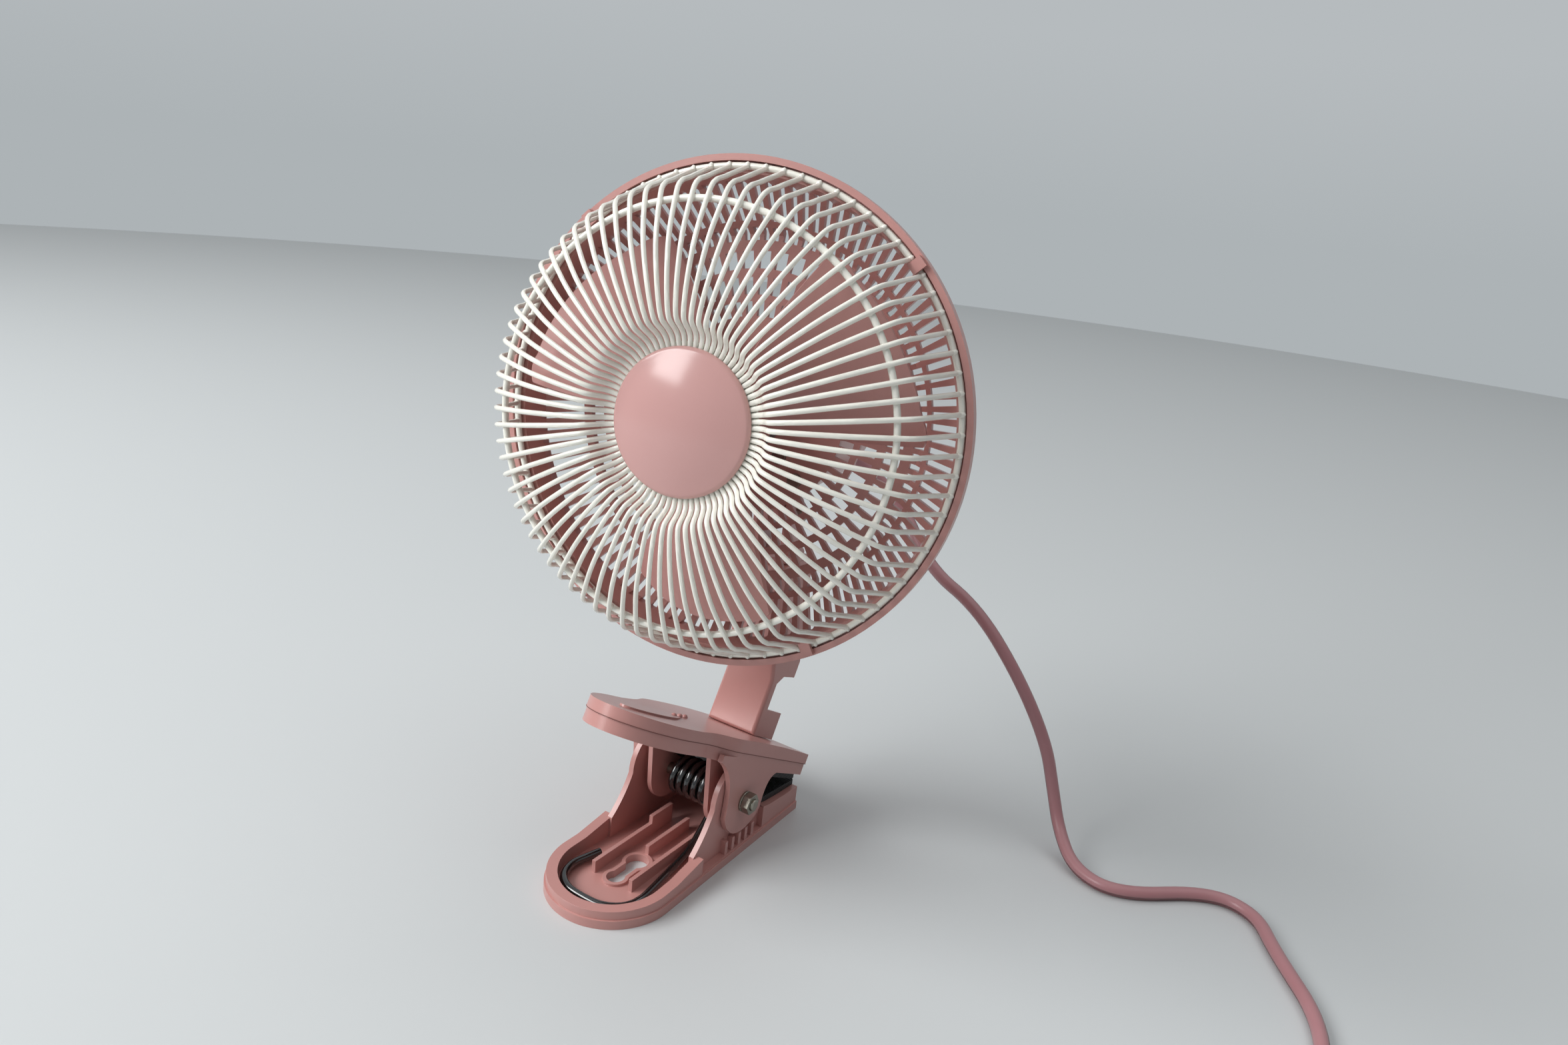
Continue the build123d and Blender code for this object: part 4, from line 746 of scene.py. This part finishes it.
wire = grille_wire()
wires = [wire]
for number in range(1, WIRE_COUNT):
    another = wire.copy()
    another.data = wire.data.copy()
    scene.collection.objects.link(another)
    another.data.transform(Matrix.Rotation(math.radians(360 / WIRE_COUNT * number), 4, "Z"))
    wires.append(another)
grille_wires = joined(wires, "grille_wires")
grille_wires.data.transform(Matrix.Rotation(math.radians(WIRE_PHASE), 4, "Z"))
hub_ring = turned("hub_ring", (
    (24.2, 28.7), (27.3, 28.7), (27.5, 29.0), (27.5, 29.9), (27.3, 30.2), (24.2, 30.2),
    (24.2, 28.7),
), 96)
grille_rings = joined(
    [ring(RING_RADIUS, RING_DEPTH, RING_WIRE), ring(MID_RADIUS, MID_DEPTH, RING_WIRE), hub_ring],
    "grille_rings",
)
for made in (grille_wires, grille_rings):
    settle(made, HEAD)
    smooth(45)
    dress(made, "head", ivory_coat, "ivory_wire", "front_grille")

# ---------------------------------------------------------------- centre badge
BADGE_FRONT, DOME_RADIUS, DOME_EDGE, EDGE_ROUND = 37.6, 80.0, 23.8, 2.1


def badge_profile():
    """The badge's section from its rear rim round the soft edge and over the dome."""
    profile = [(22.4, 31.5), (22.4, 29.1), (23.9, 29.0), (23.9, 31.9), (25.6, 31.9), (25.87, 32.0)]
    top = BADGE_FRONT - (DOME_RADIUS - math.sqrt(DOME_RADIUS**2 - DOME_EDGE**2))
    for number in range(1, 7):
        turn = math.radians(number * 12)
        height = top - 2.06 + EDGE_ROUND * math.sin(turn) * 0.98
        profile.append((DOME_EDGE + EDGE_ROUND * math.cos(turn), height))
    for number in range(1, 24):
        radius = DOME_EDGE * (1 - number / 23.5)
        drop = DOME_RADIUS - math.sqrt(DOME_RADIUS**2 - radius**2)
        profile.append((radius, BADGE_FRONT - drop))
    return profile


badge = turned("hub_badge", badge_profile(), 128, pointed=True)
settle(badge, HEAD)
smooth(45)
dress(badge, "head", badge_abs, "badge_gloss", "centre_badge")

# ---------------------------------------------------------------- strain relief, cord and plug
GRIP_RINGS, RING_STEP, RING_TAPER = 7, 2.4, 0.2


def relief_profile():
    """A tapered boot with seven grip rings, from the motor cover out to the cord."""
    profile = [(3.6, -90.0), (3.6, -91.9), (5.2, -92.0), (5.25, -94.0)]
    for number in range(GRIP_RINGS):
        depth = -95.4 - number * RING_STEP
        radius = 5.1 - number * RING_TAPER
        profile += [
            (radius, depth), (radius - 0.7, depth - 0.5), (radius - 0.7, depth - 1.1),
            (radius - 0.1, depth - 1.6),
        ]
    profile += [(3.7, -113.2), (3.3, -113.8), (2.6, -113.9)]
    return profile


relief = turned("cord_boot", relief_profile(), 40)
for vertex in relief.data.vertices:
    vertex.co.y += RELIEF_DROP * MM
settle(relief, HEAD)
smooth(50)
dress(relief, "head", rose_pvc, "cord_pvc", "strain_relief")

plug = softened("plug_body", "plug_grip", 1.0, rose_pvc, "cord_pvc", segments=3)
pins = softened("plug_pins", "plug_prongs", 0.3, nickel_brass, "pin_brass")

power_cord.data.materials.append(cord_jacket)
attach(power_cord, "head")
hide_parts("power_cord", "cord_coil")


# ---------------------------------------------------------------- studio
FLOOR_RADIUS, COVE_RADIUS, WALL_TOP = 2600.0, 600.0, 5000.0


def stage_material(name, code, roughness):
    made, tree, shader, spot = new_material(name)
    soft = add_node(tree, "ShaderNodeTexNoise", None, {"Vector": spot, "Scale": 3.0, "Detail": 2.0})
    ramp = between(tree, soft.outputs["Fac"], code, code)
    tree.links.new(ramp, shader.inputs["Base Color"])
    shader.inputs["Roughness"].default_value = roughness
    return made


def backdrop_material(name, low, high):
    """A pale wall, low colour at its foot, that the eye and reflections see in its own colour."""
    made, tree, shader, spot = new_material(name)
    height = add_node(tree, "ShaderNodeSeparateXYZ", None, {"Vector": spot})
    soft = add_node(tree, "ShaderNodeMapRange", {"interpolation_type": "SMOOTHSTEP"}, {
        "Value": height.outputs["Z"], "From Min": -0.1, "From Max": 1.1,
    })
    seen = add_node(tree, "ShaderNodeLightPath")
    either = add_node(tree, "ShaderNodeMath", {"operation": "MAXIMUM"}, {
        0: seen.outputs["Is Camera Ray"], 1: seen.outputs["Is Glossy Ray"],
    })
    any_of = add_node(tree, "ShaderNodeMath", {"operation": "MAXIMUM"}, {
        0: either.outputs[0], 1: seen.outputs["Is Transmission Ray"],
    })
    colour = between(tree, soft.outputs["Result"], low, high)
    tree.links.new(colour, shader.inputs["Emission Color"])
    tree.links.new(any_of.outputs[0], shader.inputs["Emission Strength"])
    shader.inputs["Base Color"].default_value = linear("#000000")
    shader.inputs["Specular IOR Level"].default_value = 0.0
    shader.inputs["Roughness"].default_value = 1.0
    return made


def add_studio():
    """A white laminate top with a pale grey wall standing all round it, far off."""
    rings = [(FLOOR_RADIUS, 0.0), (900.0, 0.0), (20.0, 0.0)]
    floor = turned("studio_floor", rings, 96, pointed=True)
    floor.data.materials.append(stage_material("white_laminate", "#cdd1d2", 0.42))
    profile = [(FLOOR_RADIUS, 0.0)]
    for number in range(1, 13):
        turn = math.radians(number * 7.5)
        profile.append((
            FLOOR_RADIUS + COVE_RADIUS * math.sin(turn), COVE_RADIUS - COVE_RADIUS * math.cos(turn),
        ))
    profile.append((FLOOR_RADIUS + COVE_RADIUS, WALL_TOP))
    wall = turned("studio_wall", profile, 96)
    wall.data.materials.append(backdrop_material("pale_grey_wall", "#adb3b6", "#b6bbbe"))
    # the wall is only a background: it keeps no light off the fan
    wall.visible_shadow = False
    wall.visible_diffuse = False
    for made in (floor, wall):
        select_only(made)
        bpy.ops.object.mode_set(mode="EDIT")
        bpy.ops.mesh.select_all(action="SELECT")
        bpy.ops.mesh.normals_make_consistent(inside=made is wall)
        bpy.ops.object.mode_set(mode="OBJECT")
        smooth(40)


def add_lamp(name, place, aim, size, power, colour):
    """A rectangular area lamp that faces its aim."""
    bpy.ops.object.light_add(type="AREA", location=place)
    lamp = bpy.context.object
    lamp.name = name
    lamp.rotation_euler = (Vector(aim) - Vector(place)).to_track_quat("-Z", "Y").to_euler()
    lamp.data.shape = "RECTANGLE"
    lamp.data.size, lamp.data.size_y = size
    lamp.data.energy = power
    lamp.data.color = linear(colour)[:3]


add_studio()
add_lamp("window", (-0.72, -1.42, 1.12), (0, 0, 0.19), (0.6, 0.9), 15, "#ffffff")
add_lamp("room", (-1.5, -1.1, 1.5), (0, 0, 0.12), (1.0, 1.0), 30, "#ffffff")
add_lamp("ceiling", (0.4, 0.4, 4.0), (0.2, 0.2, 0), (5.0, 5.0), 80, "#ffffff")
world = bpy.data.worlds.new("room")
scene.world = world
world.use_nodes = True
sky = world.node_tree.nodes["Background"]
sky.inputs["Color"].default_value = linear("#dfe3e6")
sky.inputs["Strength"].default_value = 0.2
scene.view_settings.view_transform = "Standard"
